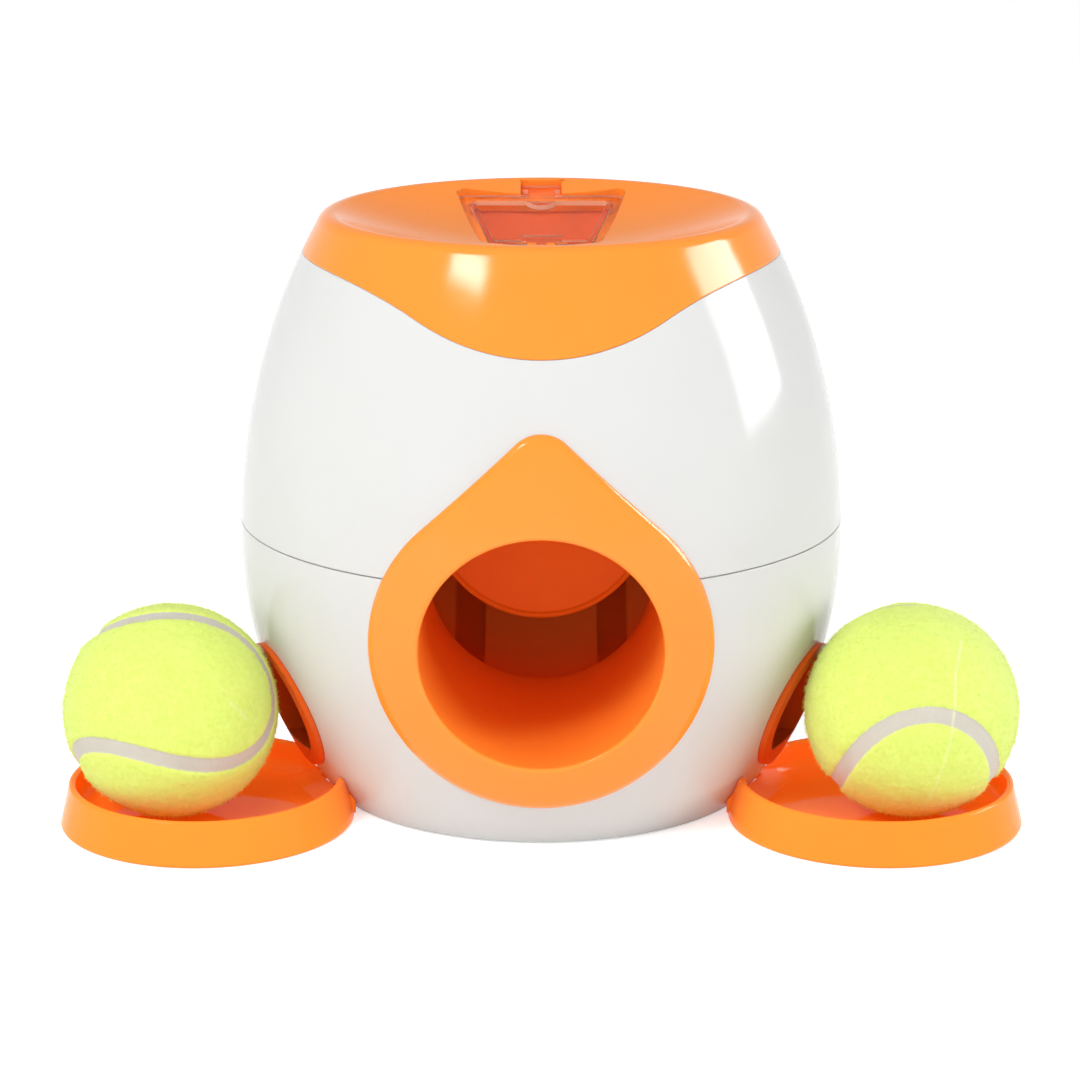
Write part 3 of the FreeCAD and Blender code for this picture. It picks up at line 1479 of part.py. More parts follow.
def base_plate():
    """The floor of the barrel, with recesses for the feet and the screw heads."""
    plate = body("base_plate", (0, 0, D["plate_bottom"]))
    disc = body_sketch(plate, "XY", "base_outline")
    draw_circle(disc, 0, 0, D["base_radius"])
    pad(plate, "base_disc", disc, D["plate_thickness"])
    corner = D["pad_circle"] / math.sqrt(2)
    recess = body_sketch(plate, "XY", "foot_recess_outline")
    draw_circle(recess, corner, corner, D["pad_radius"] + 0.1)
    first = pocket(plate, "foot_recess", recess, 0.7, backwards=True)
    round_copies(plate, "foot_recesses", first, 4)
    screw = body_sketch(plate, "XY", "base_bore_outline")
    place = D["screw_circle"] / math.sqrt(2)
    draw_circle(screw, place, place, 1.7)
    second = pocket(plate, "base_bore", screw, 10, midplane=True)
    round_copies(plate, "base_bores", second, 4)
    sink = body_sketch(plate, "XY", "base_sink_outline")
    draw_circle(sink, place, place, 3.2)
    third = pocket(plate, "base_sink", sink, 1.4, backwards=True)
    round_copies(plate, "base_sinks", third, 4)
    middle = body_sketch(plate, "XY", "leg_bore_outline")
    draw_circle(middle, 0, 34, 1.7)
    pocket(plate, "leg_bore_hole", middle, 10, midplane=True)
    rest = body_sketch(plate, "XY", "leg_sink_outline")
    draw_circle(rest, 0, 34, 3.2)
    pocket(plate, "leg_sink", rest, 1.4, backwards=True)
    keep("base_plate", plate)


def rubber_feet():
    feet = []
    for index, (x, y) in enumerate(four_places(D["pad_circle"].value)):
        foot = cylinder("foot_%d" % index, D["pad_radius"], D["plate_bottom"] + 0.7, (x, y, 0))
        feet.append(foot)
    keep("rubber_feet", fuse("rubber_feet", feet))


def screw_up(name, x, y, head_z, shank, radius, head=2.8, head_height=1.4):
    """A pan-head screw that is driven upward, with a cross slot in its head."""
    cap = cylinder(name + "_head", head, head_height, (x, y, head_z))
    stem = cylinder(name + "_stem", radius, shank, (x, y, head_z + head_height))
    across = box(name + "_slot_x", (x - 1.8, y - 0.35, head_z - 1), (x + 1.8, y + 0.35, head_z + 0.8))
    along = box(name + "_slot_y", (x - 0.35, y - 1.8, head_z - 1), (x + 0.35, y + 1.8, head_z + 0.8))
    return cut(name, fuse(name + "_solid", [cap, stem]), [across, along])


def screws():
    bottom = D["plate_bottom"].value
    base = []
    for index, (x, y) in enumerate(four_places(D["screw_circle"].value) + [(0, 34)]):
        base.append(screw_up("base_screw_%d" % index, x, y, bottom, 9, 1.4))
    keep("base_screws", fuse("base_screws", base))
    shell = []
    for index, (x, y) in enumerate(four_places(BOSS_CIRCLE)):
        shell.append(screw_up("shell_screw_%d" % index, x, y, 72, 20, 1.4, head_height=2))
    keep("shell_screws", fuse("shell_screws", shell))
    hopper = []
    for name, side in SIDES:
        hopper.append(screw_up("hopper_screw_" + name, side * 34, 32, 156, 9, 1.4, head_height=2))
    keep("hopper_screws", fuse("hopper_screws", hopper))
    tunnel = []
    start = D["tunnel_end"] - FLANGE
    for index, (x, z) in enumerate(flange_bolts()):
        head = cylinder("tunnel_head_%d" % index, 2.4, 1.6, (x, start - 1.6, z), "Y")
        stem = cylinder("tunnel_stem_%d" % index, 1.0, 5.2, (x, start, z), "Y")
        slot = box("tunnel_slot_%d" % index, (x - 3, start - 3, z - 0.4), (x + 3, start - 0.8, z + 0.4))
        whole = fuse("tunnel_screw_body_%d" % index, [head, stem])
        tunnel.append(cut("tunnel_screw_%d" % index, whole, [slot]))
    keep("tunnel_screws", fuse("tunnel_screws", tunnel))


# ---------------------------------------------------------------- build and write


def check_and_write():
    """Stop on any failed object, then write one STEP file for each sub-part."""
    DOC.recompute()
    failed = [o.Name for o in DOC.Objects if set(o.State) & {"Invalid", "Error"}]
    if failed:
        raise RuntimeError("failed objects: " + ", ".join(failed))
    for item in PARTS:
        shape = item.Shape
        if shape.isNull() or not shape.isValid() or not shape.Solids:
            raise RuntimeError("bad shape: " + item.Label)
    os.makedirs("parts", exist_ok=True)
    for item in PARTS:
        item.Shape.exportStep("parts/%s.step" % item.Label)
        print("%-20s solids %2d  volume %10.1f" % (item.Label, len(item.Shape.Solids), item.Shape.Volume))


def main():
    lower_shell()
    upper_shell()
    dish_cap()
    hatch_lid()
    entry_plate()
    entry_tunnel()
    tunnel_collar()
    backstop_cup()
    paddle_flap()
    paddle_weight()
    shafts()
    paddle_gear()
    rotor_pinion()
    treat_rotor()
    rotor_shaft()
    treat_hopper()
    treat_splitter()
    chutes()
    outlet_frames()
    for name, side in SIDES:
        tray(name, side)
        tennis_ball(name, side)
    base_plate()
    rubber_feet()
    screws()
    check_and_write()


main()
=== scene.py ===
import math

import bmesh
import bpy
import numpy as np
from mathutils import Matrix, Vector, noise


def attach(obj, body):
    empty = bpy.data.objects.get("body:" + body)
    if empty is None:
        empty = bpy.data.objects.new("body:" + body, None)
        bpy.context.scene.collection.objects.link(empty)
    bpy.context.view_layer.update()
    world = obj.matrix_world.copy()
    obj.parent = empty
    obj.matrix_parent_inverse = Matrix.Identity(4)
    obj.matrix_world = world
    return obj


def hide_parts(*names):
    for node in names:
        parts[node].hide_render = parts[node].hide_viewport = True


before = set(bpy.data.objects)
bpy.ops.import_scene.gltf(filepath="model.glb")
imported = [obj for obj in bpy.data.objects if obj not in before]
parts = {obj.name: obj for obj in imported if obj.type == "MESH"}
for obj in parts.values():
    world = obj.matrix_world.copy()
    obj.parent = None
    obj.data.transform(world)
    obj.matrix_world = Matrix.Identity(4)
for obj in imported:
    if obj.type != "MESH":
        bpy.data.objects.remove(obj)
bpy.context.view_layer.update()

MM = 0.001

# The two tennis balls, in mm: their radius, and the right one's middle; the left one mirrors it.
BALL_RADIUS = 32.5
BALL_MIDDLE = (111.4, -48.2, 36.0)

# Slope of the hatch in degrees; its far edge is the higher one.
LID_SLOPE = 12.4


def placed(name, data):
    """An object of this mesh, lamp or camera, linked to the scene."""
    made = bpy.data.objects.new(name, data)
    bpy.context.scene.collection.objects.link(made)
    return made


# ---------------------------------------------------------------- materials

def linear(code):
    """An sRGB hex colour as the linear colour that a shader takes."""
    values = [int(code[i:i + 2], 16) / 255 for i in (1, 3, 5)]
    return [v / 12.92 if v <= 0.04045 else ((v + 0.055) / 1.055) ** 2.4 for v in values] + [1.0]


def per(size):
    """Noise scale whose features are about this many millimetres wide."""
    return 1 / (size * MM)


def add(tree, kind, inputs=None, **settings):
    """A node with its settings; an input takes a value or another node's socket."""
    made = tree.nodes.new(kind)
    for key, value in settings.items():
        setattr(made, key, value)
    for key, value in (inputs or {}).items():
        if isinstance(value, bpy.types.NodeSocket):
            tree.links.new(value, made.inputs[key])
        else:
            made.inputs[key].default_value = value
    return made


def empty_material(name):
    """A material with nothing in its tree but the output."""
    material = bpy.data.materials.new(name)
    material.use_nodes = True
    material.node_tree.nodes.clear()
    return material, material.node_tree


def spread(tree, value, low, high):
    """Takes a 0 to 1 pattern to a range of values."""
    return add(tree, "ShaderNodeMapRange", {"Value": value, "To Min": low, "To Max": high}).outputs[0]


def moulded(name, colour, shade, roughness, waviness, edge=0.7, gloss=0.5, painted_and_backdrop_glow=0.0):
    """Injection-moulded plastic: faint flow clouds and a slow waviness, its edges rounded by edge mm.

    Its last argument paints light into the surface: an orange-red emission with no lamp behind it, standing
    in for light through thin walls.
    """
    material, tree = empty_material(name)
    place = add(tree, "ShaderNodeTexCoord").outputs["Object"]
    flow = add(tree, "ShaderNodeTexNoise", {"Vector": place, "Scale": per(40), "Detail": 3.0})
    tone = add(tree, "ShaderNodeMix", {
        "Factor": spread(tree, flow.outputs[0], 0.0, 1.0), "A": linear(colour), "B": linear(shade)},
        data_type="RGBA")
    handling = add(tree, "ShaderNodeTexNoise", {"Vector": place, "Scale": per(9), "Detail": 4.0})
    peel = add(tree, "ShaderNodeTexNoise", {"Vector": place, "Scale": per(6), "Detail": 1.0})
    relief = {"Height": peel.outputs[0], "Strength": waviness, "Distance": 0.05 * MM}
    if edge:
        relief["Normal"] = add(tree, "ShaderNodeBevel", {"Radius": edge * MM}, samples=6).outputs[0]
    skin = add(tree, "ShaderNodeBump", relief)
    # Painted glow: the surface gives off #FF5400 light at the strength of its last argument.
    surface = add(tree, "ShaderNodeBsdfPrincipled", {
        "Base Color": tone.outputs["Result"],
        "Roughness": spread(tree, handling.outputs[0], roughness * 0.8, roughness * 1.3),
        "Normal": skin.outputs[0], "IOR": 1.53, "Specular IOR Level": gloss,
        "Emission Color": linear("#FF5400"), "Emission Strength": painted_and_backdrop_glow})
    add(tree, "ShaderNodeOutputMaterial", {"Surface": surface.outputs[0]})
    return material


def cup_with_painted_shade_bands():
    """Satin ABS of the cup behind the tunnel, with two upright bands beside its middle painted in a deeper
    tone as shade.
    """
    material, tree = empty_material("orange_satin_ABS_painted_shade_bands")
    place = add(tree, "ShaderNodeTexCoord").outputs["Object"]
    across = add(tree, "ShaderNodeSeparateXYZ", {0: place}).outputs["X"]
    aside = add(tree, "ShaderNodeMath", {0: across}, operation="ABSOLUTE").outputs[0]
    # Each painted shade band runs from about 18 to 27.5 mm out, with soft edges.
    inner = add(tree, "ShaderNodeMapRange", {"Value": aside, "From Min": 17.5 * MM, "From Max": 18.5 * MM})
    outer = add(tree, "ShaderNodeMapRange", {"Value": aside, "From Min": 28 * MM, "From Max": 27 * MM})
    painted_shade_band = add(tree, "ShaderNodeMath", {0: inner.outputs[0], 1: outer.outputs[0]}, operation="MULTIPLY")
    grain = add(tree, "ShaderNodeTexNoise", {"Vector": place, "Scale": per(9), "Detail": 4.0})
    # The bands take #D8601C as painted shade over the cup's own orange.
    tone = add(tree, "ShaderNodeMix", {
        "Factor": painted_shade_band.outputs[0], "A": linear("#FF8C38"), "B": linear("#D8601C")}, data_type="RGBA")
    surface = add(tree, "ShaderNodeBsdfPrincipled", {
        "Base Color": tone.outputs["Result"], "Roughness": spread(tree, grain.outputs[0], 0.3, 0.45),
        "IOR": 1.53, "Specular IOR Level": 0.15})
    add(tree, "ShaderNodeOutputMaterial", {"Surface": surface.outputs[0]})
    return material


def clear_polycarbonate():
    """Clear moulded sheet with a faint warm cast and polished edges."""
    material, tree = empty_material("clear_polycarbonate")
    place = add(tree, "ShaderNodeTexCoord").outputs["Object"]
    haze = add(tree, "ShaderNodeTexNoise", {"Vector": place, "Scale": per(5), "Detail": 3.0})
    corner = add(tree, "ShaderNodeBevel", {"Radius": 0.5 * MM}, samples=6)
    ripple = add(tree, "ShaderNodeBump", {"Height": haze.outputs[0], "Strength": 0.1, "Distance": 0.05 * MM,
                                          "Normal": corner.outputs[0]})
    surface = add(tree, "ShaderNodeBsdfPrincipled", {
        "Base Color": linear("#FFF2EC"), "Roughness": spread(tree, haze.outputs[0], 0.02, 0.08),
        "Transmission Weight": 1.0, "IOR": 1.2, "Normal": ripple.outputs[0]})
    add(tree, "ShaderNodeOutputMaterial", {"Surface": surface.outputs[0]})
    return material


def frosted_polycarbonate():
    """The lid's narrow upright walls: the same sheet, left matt by the mould, so they catch the light."""
    material, tree = empty_material("frosted_polycarbonate")
    place = add(tree, "ShaderNodeTexCoord").outputs["Object"]
    grain = add(tree, "ShaderNodeTexNoise", {"Vector": place, "Scale": per(0.8), "Detail": 2.0})
    tone = add(tree, "ShaderNodeMix", {
        "Factor": grain.outputs[0], "A": linear("#FFDCC4"), "B": linear("#FFD0B4")}, data_type="RGBA")
    relief = add(tree, "ShaderNodeBump", {"Height": grain.outputs[0], "Strength": 0.3, "Distance": 0.05 * MM})
    surface = add(tree, "ShaderNodeBsdfPrincipled", {
        "Base Color": tone.outputs["Result"], "Roughness": 0.45, "Transmission Weight": 0.45, "IOR": 1.2,
        "Normal": relief.outputs[0]})
    add(tree, "ShaderNodeOutputMaterial", {"Surface": surface.outputs[0]})
    return material


def zinc_plate():
    """Zinc-plated steel: satin, with the drawn lines of bar stock, drawn coarser than real ones to show."""
    material, tree = empty_material("zinc_plated_steel")
    place = add(tree, "ShaderNodeTexCoord").outputs["Object"]
    lines = add(tree, "ShaderNodeMapping", {"Vector": place, "Scale": (0.08, 1.0, 1.0)})
    drawn = add(tree, "ShaderNodeTexNoise", {"Vector": lines.outputs[0], "Scale": per(0.5), "Detail": 2.0})
    corner = add(tree, "ShaderNodeBevel", {"Radius": 0.2 * MM}, samples=4)
    relief = add(tree, "ShaderNodeBump", {"Height": drawn.outputs[0], "Strength": 0.2, "Distance": 0.03 * MM,
                                          "Normal": corner.outputs[0]})
    surface = add(tree, "ShaderNodeBsdfPrincipled", {
        "Base Color": linear("#C9CACC"), "Metallic": 1.0,
        "Roughness": spread(tree, drawn.outputs[0], 0.25, 0.42), "Normal": relief.outputs[0]})
    add(tree, "ShaderNodeOutputMaterial", {"Surface": surface.outputs[0]})
    return material


def moulded_rubber(name, colour, shade):
    """Matt moulded rubber with a grain of about 0.6 mm."""
    material, tree = empty_material(name)
    place = add(tree, "ShaderNodeTexCoord").outputs["Object"]
    grain = add(tree, "ShaderNodeTexNoise", {"Vector": place, "Scale": per(0.6), "Detail": 3.0})
    tone = add(tree, "ShaderNodeMix", {"Factor": grain.outputs[0], "A": linear(colour), "B": linear(shade)},
               data_type="RGBA")
    relief = add(tree, "ShaderNodeBump", {"Height": grain.outputs[0], "Strength": 0.4, "Distance": 0.05 * MM})
    surface = add(tree, "ShaderNodeBsdfPrincipled", {
        "Base Color": tone.outputs["Result"], "Roughness": 0.8, "Normal": relief.outputs[0]})
    add(tree, "ShaderNodeOutputMaterial", {"Surface": surface.outputs[0]})
    return material


def wool_colour(tree, place):
    """Optic yellow wool, darker and greener between the tufts as painted shade, and warmer where it is
    rubbed: colour, tufts and wear.
    """
    tufts = add(tree, "ShaderNodeTexNoise", {
        "Vector": place, "Scale": per(1.6), "Detail": 6.0, "Roughness": 0.7})
    worn = add(tree, "ShaderNodeTexNoise", {"Vector": place, "Scale": per(9), "Detail": 3.0})
    # Where the tuft pattern is low, the darker, greener tone is painted shade in the hollows between tufts.
    wool = add(tree, "ShaderNodeMix", {"Factor": spread(tree, tufts.outputs[0], -0.3, 1.3),
                                       "A": linear("#CFE658"), "B": linear("#EBFF8A")}, data_type="RGBA")
    warm = add(tree, "ShaderNodeMix", {"Factor": spread(tree, worn.outputs[0], 0.0, 0.5),
                                       "A": wool.outputs["Result"], "B": linear("#E8F074")}, data_type="RGBA")
    return warm.outputs["Result"], tufts.outputs[0], worn.outputs[0]


def wool_felt():
    """Tennis felt: brushed wool in optic yellow, tufted, with the seam's bare rubber between its panels."""
    material, tree = empty_material("napped_wool_felt")
    place = add(tree, "ShaderNodeTexCoord").outputs["Object"]
    warm, tufts, worn = wool_colour(tree, place)
    distance = add(tree, "ShaderNodeAttribute", attribute_name="seam").outputs["Fac"]
    ragged = add(tree, "ShaderNodeMath", {0: distance, 1: spread(tree, tufts, -0.35, 0.35)}, operation="ADD")
    # The felt starts about 2.5 mm from the seam's middle, with an edge as ragged as the tufts.
    felt = add(tree, "ShaderNodeMapRange", {"Value": ragged.outputs[0], "From Min": 2.4, "From Max": 2.55})
    rubber = add(tree, "ShaderNodeMix", {"Factor": worn, "A": linear("#D6D0C4"), "B": linear("#C4BEB2")},
                 data_type="RGBA")
    cover = add(tree, "ShaderNodeMix", {"Factor": felt.outputs[0], "A": rubber.outputs["Result"], "B": warm},
                data_type="RGBA")
    line = add(tree, "ShaderNodeAttribute", attribute_name="flash").outputs["Fac"]
    pale = add(tree, "ShaderNodeMapRange", {"Value": line, "From Min": 0.7, "From Max": 0.2, "To Max": 0.4})
    tone = add(tree, "ShaderNodeMix", {"Factor": pale.outputs[0], "A": cover.outputs["Result"],
                                       "B": linear("#F6FAC4")}, data_type="RGBA")
    relief = add(tree, "ShaderNodeBump", {"Height": tufts, "Strength": 0.7, "Distance": 0.5 * MM})
    surface = add(tree, "ShaderNodeBsdfPrincipled", {
        "Base Color": tone.outputs["Result"], "Roughness": 0.9, "Sheen Weight": 0.25,
        "Sheen Roughness": 0.5, "Normal": relief.outputs[0]})
    add(tree, "ShaderNodeOutputMaterial", {"Surface": surface.outputs[0]})
    return material


def wool_fibre():
    """Loose wool fibres of the felt's nap, in the felt's own colours, drawn thicker than real ones."""
    material, tree = empty_material("wool_nap")
    place = add(tree, "ShaderNodeTexCoord").outputs["Object"]
    wool = wool_colour(tree, place)[0]
    surface = add(tree, "ShaderNodeBsdfPrincipled", {
        "Base Color": wool, "Roughness": 0.85, "Sheen Weight": 0.25, "Sheen Roughness": 0.5})
    add(tree, "ShaderNodeOutputMaterial", {"Surface": surface.outputs[0]})
    return material


white_abs = moulded("white_moulded_ABS", "#D9D9D8", "#D5D5D3", 0.12, 0.1, gloss=0.12)
orange_abs = moulded("orange_moulded_ABS", "#FF973A", "#FE9234", 0.13, 0.1, gloss=0.25, painted_and_backdrop_glow=0.05)
plate_abs = moulded("orange_moulded_ABS_plate", "#FF973A", "#FE9234", 0.14, 0.05, edge=0.0, gloss=0.25,
                    painted_and_backdrop_glow=0.05)
# The trays take the strongest painted glow, which lightens the shade on their floors; the other orange parts
# take a little.
tray_abs = moulded("orange_moulded_ABS_trays", "#FF9436", "#FE8E30", 0.06, 0.05, gloss=0.08, painted_and_backdrop_glow=0.24)
# A darker copy of the orange, painted shade for the hopper and chutes deep inside and for the outlet frames
# in the balls' shadow.
painted_shade_orange_abs = moulded("orange_moulded_ABS_painted_shade", "#EA6420", "#E05C1A", 0.3, 0.2, gloss=0.1)
bore_abs = moulded("orange_satin_ABS", "#FF9636", "#FC9030", 0.3, 0.12, gloss=0.05, painted_and_backdrop_glow=0.045)
flap_abs = moulded("orange_satin_ABS_flap", "#FF8E28", "#FA8822", 0.16, 0.1, edge=1.5, gloss=0.05, painted_and_backdrop_glow=0.03)
cup_painted_shade_abs = cup_with_painted_shade_bands()
inner_abs = moulded("natural_moulded_ABS", "#DCDCD6", "#D2D2CA", 0.42, 0.3)
acetal = moulded("natural_acetal", "#ECEBE4", "#E2E0D8", 0.35, 0.2, edge=0.25)
clear_lid = clear_polycarbonate()
frosted_lid = frosted_polycarbonate()
zinc = zinc_plate()
foot_rubber = moulded_rubber("black_moulded_rubber", "#2A2A2A", "#1C1C1C")
core_rubber = moulded_rubber("tennis_ball_rubber", "#4A4642", "#393633")
felt = wool_felt()
fibre = wool_fibre()

FINISHES = {
    white_abs: ["lower_shell", "upper_shell", "base_plate"],
    orange_abs: ["dish_cap", "hatch_hinge_pin", "tunnel_collar"],
    painted_shade_orange_abs: ["treat_hopper", "chute_left", "chute_right", "outlet_frame_left", "outlet_frame_right"],
    plate_abs: ["entry_plate"],
    tray_abs: ["tray_left", "tray_right"],
    bore_abs: ["entry_tunnel"],
    flap_abs: ["paddle_flap"],
    cup_painted_shade_abs: ["backstop_cup"],
    inner_abs: ["treat_splitter"],
    acetal: ["shaft_bushes", "rotor_bushes", "paddle_gear", "rotor_pinion", "treat_rotor"],
    clear_lid: ["hatch_lid"],
    zinc: ["paddle_weight", "weight_screws", "paddle_shaft", "shaft_clips", "rotor_shaft",
           "base_screws", "shell_screws", "hopper_screws", "tunnel_screws"],
    foot_rubber: ["rubber_feet"],
    core_rubber: ["ball_core_left", "ball_core_right"],
    felt: ["ball_felt_left", "ball_felt_right"],
}
for finish, names in FINISHES.items():
    for name in names:
        parts[name].data.materials.clear()
        parts[name].data.materials.append(finish)


# ---------------------------------------------------------------- trim plate of the ball tunnel

# In mm: heights of the middles and the radii of the teardrop's two ends, the bore through it, and how
# far it stands proud of the barrel. Its outer edge rounds off over SHOULDER and down by DROP; the bore's
# edge rounds off by LIP. The barrel's skin is turned from two arcs that meet at its belly.
PLATE_MIDDLE = 65.0
PLATE_RADIUS = 50.3
TIP_MIDDLE = 119.5
TIP_RADIUS = 10.5
BORE_RADIUS = 35.5
PROUD = 1.8
SHOULDER = 2.6
DROP = 1.5
LIP = 1.5
BELLY = 80.0


def skin_radius(z):
    """Radius of the barrel's skin at a height."""
    if z < BELLY:
        return math.sqrt(133.6 ** 2 - (z - BELLY) ** 2) - 40.5
    return math.sqrt(200 ** 2 - (z - BELLY) ** 2) - 106.9


def on_skin(x, z, height):
    """A point over the barrel's front at a height above its skin."""
    reach = skin_radius(z) + height
    return (x * MM, -math.sqrt(reach * reach - x * x) * MM, z * MM)


def teardrop(count):
    """Points of the plate's outline with their outward directions: round foot, straight sides, small tip."""
    slope = math.acos((PLATE_RADIUS - TIP_RADIUS) / (TIP_MIDDLE - PLATE_MIDDLE))
    # Share of the points on the tip's right half, right side, foot, left side and the tip's left half.
    shares = (0.1, 0.12, 0.56, 0.12, 0.1)
    outline = []
    for index, share in enumerate(shares):
        steps = round(count * share)
        for step in range(steps):
            part = step / steps
            if index in (0, 4):
                angle = part * slope if index == 0 else (part - 1) * slope
                outline.append((TIP_MIDDLE, TIP_RADIUS, angle))
            elif index == 2:
                outline.append((PLATE_MIDDLE, PLATE_RADIUS, slope + part * (2 * math.pi - 2 * slope)))
            else:
                part = part if index == 1 else 1 - part
                angle = slope if index == 1 else -slope
                outline.append((TIP_MIDDLE + part * (PLATE_MIDDLE - TIP_MIDDLE),
                                TIP_RADIUS + part * (PLATE_RADIUS - TIP_RADIUS), angle))
    return [(radius * math.sin(angle), middle + radius * math.cos(angle), math.sin(angle), math.cos(angle))
            for middle, radius, angle in outline]


def trim_plate():
    """The teardrop plate as a closed moulding: bore edge, rounded lip, curved face and rounded shoulder."""
    outline = teardrop(260)
    arc = [math.radians(18 * step) for step in range(6)]
    seat = 0.02
    # Rows run round one section: up the bore, over the face, down the edge and back along the skin.
    rows = [("bore", 0.0, seat)]
    rows += [("bore", LIP * (1 - math.cos(a)), PROUD - LIP * (1 - math.sin(a))) for a in arc]
    rows += [("face", step / 14, PROUD) for step in range(1, 14)]
    rows += [("edge", SHOULDER * (1 - math.sin(a)), PROUD - DROP * (1 - math.cos(a))) for a in arc]
    rows += [("edge", 0.0, seat)]
    rows += [("face", step / 14, seat) for step in range(13, 0, -1)]
    points = []
    for x, z, out_x, out_z in outline:
        reach = math.hypot(x, z - PLATE_MIDDLE)
        side_x, side_z = x / reach, (z - PLATE_MIDDLE) / reach
        for kind, amount, height in rows:
            near = BORE_RADIUS + (amount if kind == "bore" else LIP)
            inset = amount if kind == "edge" else SHOULDER
            inner = (side_x * near, PLATE_MIDDLE + side_z * near)
            outer = (x - out_x * inset, z - out_z * inset)
            share = {"bore": 0.0, "face": amount, "edge": 1.0}[kind]
            points.append(on_skin(inner[0] + share * (outer[0] - inner[0]),
                                  inner[1] + share * (outer[1] - inner[1]), height))
    around, across = len(outline), len(rows)
    faces = []
    for i in range(around):
        for j in range(across):
            a, b = i * across, (i + 1) % around * across
            faces.append((a + j, a + (j + 1) % across, b + (j + 1) % across, b + j))
    mesh = bpy.data.meshes.new("trim_plate")
    mesh.from_pydata(points, [], faces)
    mesh.shade_smooth()
    mesh.materials.append(plate_abs)
    shape = bmesh.new()
    shape.from_mesh(mesh)
    bmesh.ops.recalc_face_normals(shape, faces=shape.faces)
    shape.to_mesh(mesh)
    shape.free()
    plate = placed("trim_plate", mesh)
    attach(plate, "housing")
    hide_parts("entry_plate")


trim_plate()


# ---------------------------------------------------------------- hatch lid

def lid_moulding():
    """The hatch lid, clear where it lies flat and frosted on its upright walls."""
    mesh = parts["hatch_lid"].data.copy()
    mesh.name = "lid_moulding"
    mesh.materials.clear()
    mesh.materials.append(clear_lid)
    mesh.materials.append(frosted_lid)
    slope = math.radians(LID_SLOPE)
    up = Vector((0, -math.sin(slope), math.cos(slope)))
    shape = bmesh.new()
    shape.from_mesh(mesh)
    bmesh.ops.remove_doubles(shape, verts=shape.verts, dist=0.005 * MM)
    shape.normal_update()
    for face in shape.faces:
        face.material_index = 0 if abs(face.normal.dot(up)) > 0.5 else 1
        face.smooth = False
    shape.to_mesh(mesh)
    shape.free()
    lid = placed("lid_moulding", mesh)
    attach(lid, "hatch")
    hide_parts("hatch_lid")


lid_moulding()


# ---------------------------------------------------------------- tennis balls

def seam_directions(sway, turn):
    """Unit directions along the seam of a tennis ball; sway says how far its two lobes reach."""
    t = np.linspace(0, 2 * math.pi, 720, endpoint=False)
    lobe = 1 - sway
    line = np.stack([sway * np.cos(t) + lobe * np.cos(3 * t), sway * np.sin(t) - lobe * np.sin(3 * t),
                     2 * math.sqrt(sway * lobe) * np.sin(2 * t)], axis=1)
    line /= np.linalg.norm(line, axis=1)[:, None]
    angle = np.linalg.norm(turn)
    return line @ np.array(Matrix.Rotation(angle, 3, Vector(turn) / angle)).T


def line_through(places, steps=12):
    """Unit directions along a smooth line over the ball through a few places."""
    places = np.array(places)
    stops = np.arange(len(places))
    fine = np.linspace(0, len(places) - 1, (len(places) - 1) * steps + 1)
    line = np.stack([np.interp(fine, stops, places[:, axis]) for axis in range(3)], axis=1)
    return line / np.linalg.norm(line, axis=1)[:, None]


def distance_to(line, directions):
    """Distance in mm over the ball from each direction to the nearest point of a line on it."""
    nearest = np.full(len(directions), -1.0)
    for start in range(0, len(line), 90):
        nearest = np.maximum(nearest, (directions @ line[start:start + 90].T).max(axis=1))
    return np.arccos(np.clip(nearest, -1, 1)) * BALL_RADIUS


def felt_ball(name, side, sway, turn, flash, node, body):
    """A felt cover with its seam let in, tufted panels that swell beside it and a thin raised line."""
    mesh = bpy.data.meshes.new(name)
    shape = bmesh.new()
    bmesh.ops.create_icosphere(shape, subdivisions=7, radius=1)
    shape.to_mesh(mesh)
    shape.free()
    directions = np.zeros(len(mesh.vertices) * 3, np.float32)
    mesh.vertices.foreach_get("co", directions)
    directions = directions.reshape(-1, 3).astype(float)
    directions /= np.linalg.norm(directions, axis=1)[:, None]
    seam = distance_to(seam_directions(sway, turn), directions)
    line = distance_to(line_through(flash), directions)
    # The cover lies 0.95 mm under the ball's full size at the seam and steps up 0.5 mm to the felt.
    step = np.clip((seam - 2.2) / 0.9, 0, 1)
    panel = step * step * (3 - 2 * step)
    swell = np.exp(-((seam - 5.0) / 3.0) ** 2)
    tufts = np.array([noise.fractal(Vector(d) * 14, 0.8, 2.0, 3) for d in directions])
    dents = np.array([noise.noise(Vector(d) * 4 + Vector((side, 0, 0))) for d in directions])
    radius = BALL_RADIUS - 0.95 + panel * (0.5 + 0.18 * tufts + 0.2 * dents + 0.15 * swell)
    radius += (0.1 + 0.22 * panel) * np.exp(-(line / 0.45) ** 2)
    middle = np.array([side * BALL_MIDDLE[0], BALL_MIDDLE[1], BALL_MIDDLE[2]])
    points = (middle + directions * radius[:, None]) * MM
    mesh.vertices.foreach_set("co", points.astype(np.float32).ravel())
    mesh.attributes.new("seam", "FLOAT", "POINT").data.foreach_set("value", seam.astype(np.float32))
    mesh.attributes.new("flash", "FLOAT", "POINT").data.foreach_set("value", line.astype(np.float32))
    mesh.shade_smooth()
    mesh.materials.append(felt)
    ball = placed(name, mesh)
    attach(ball, body)
    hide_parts(node)
    return ball


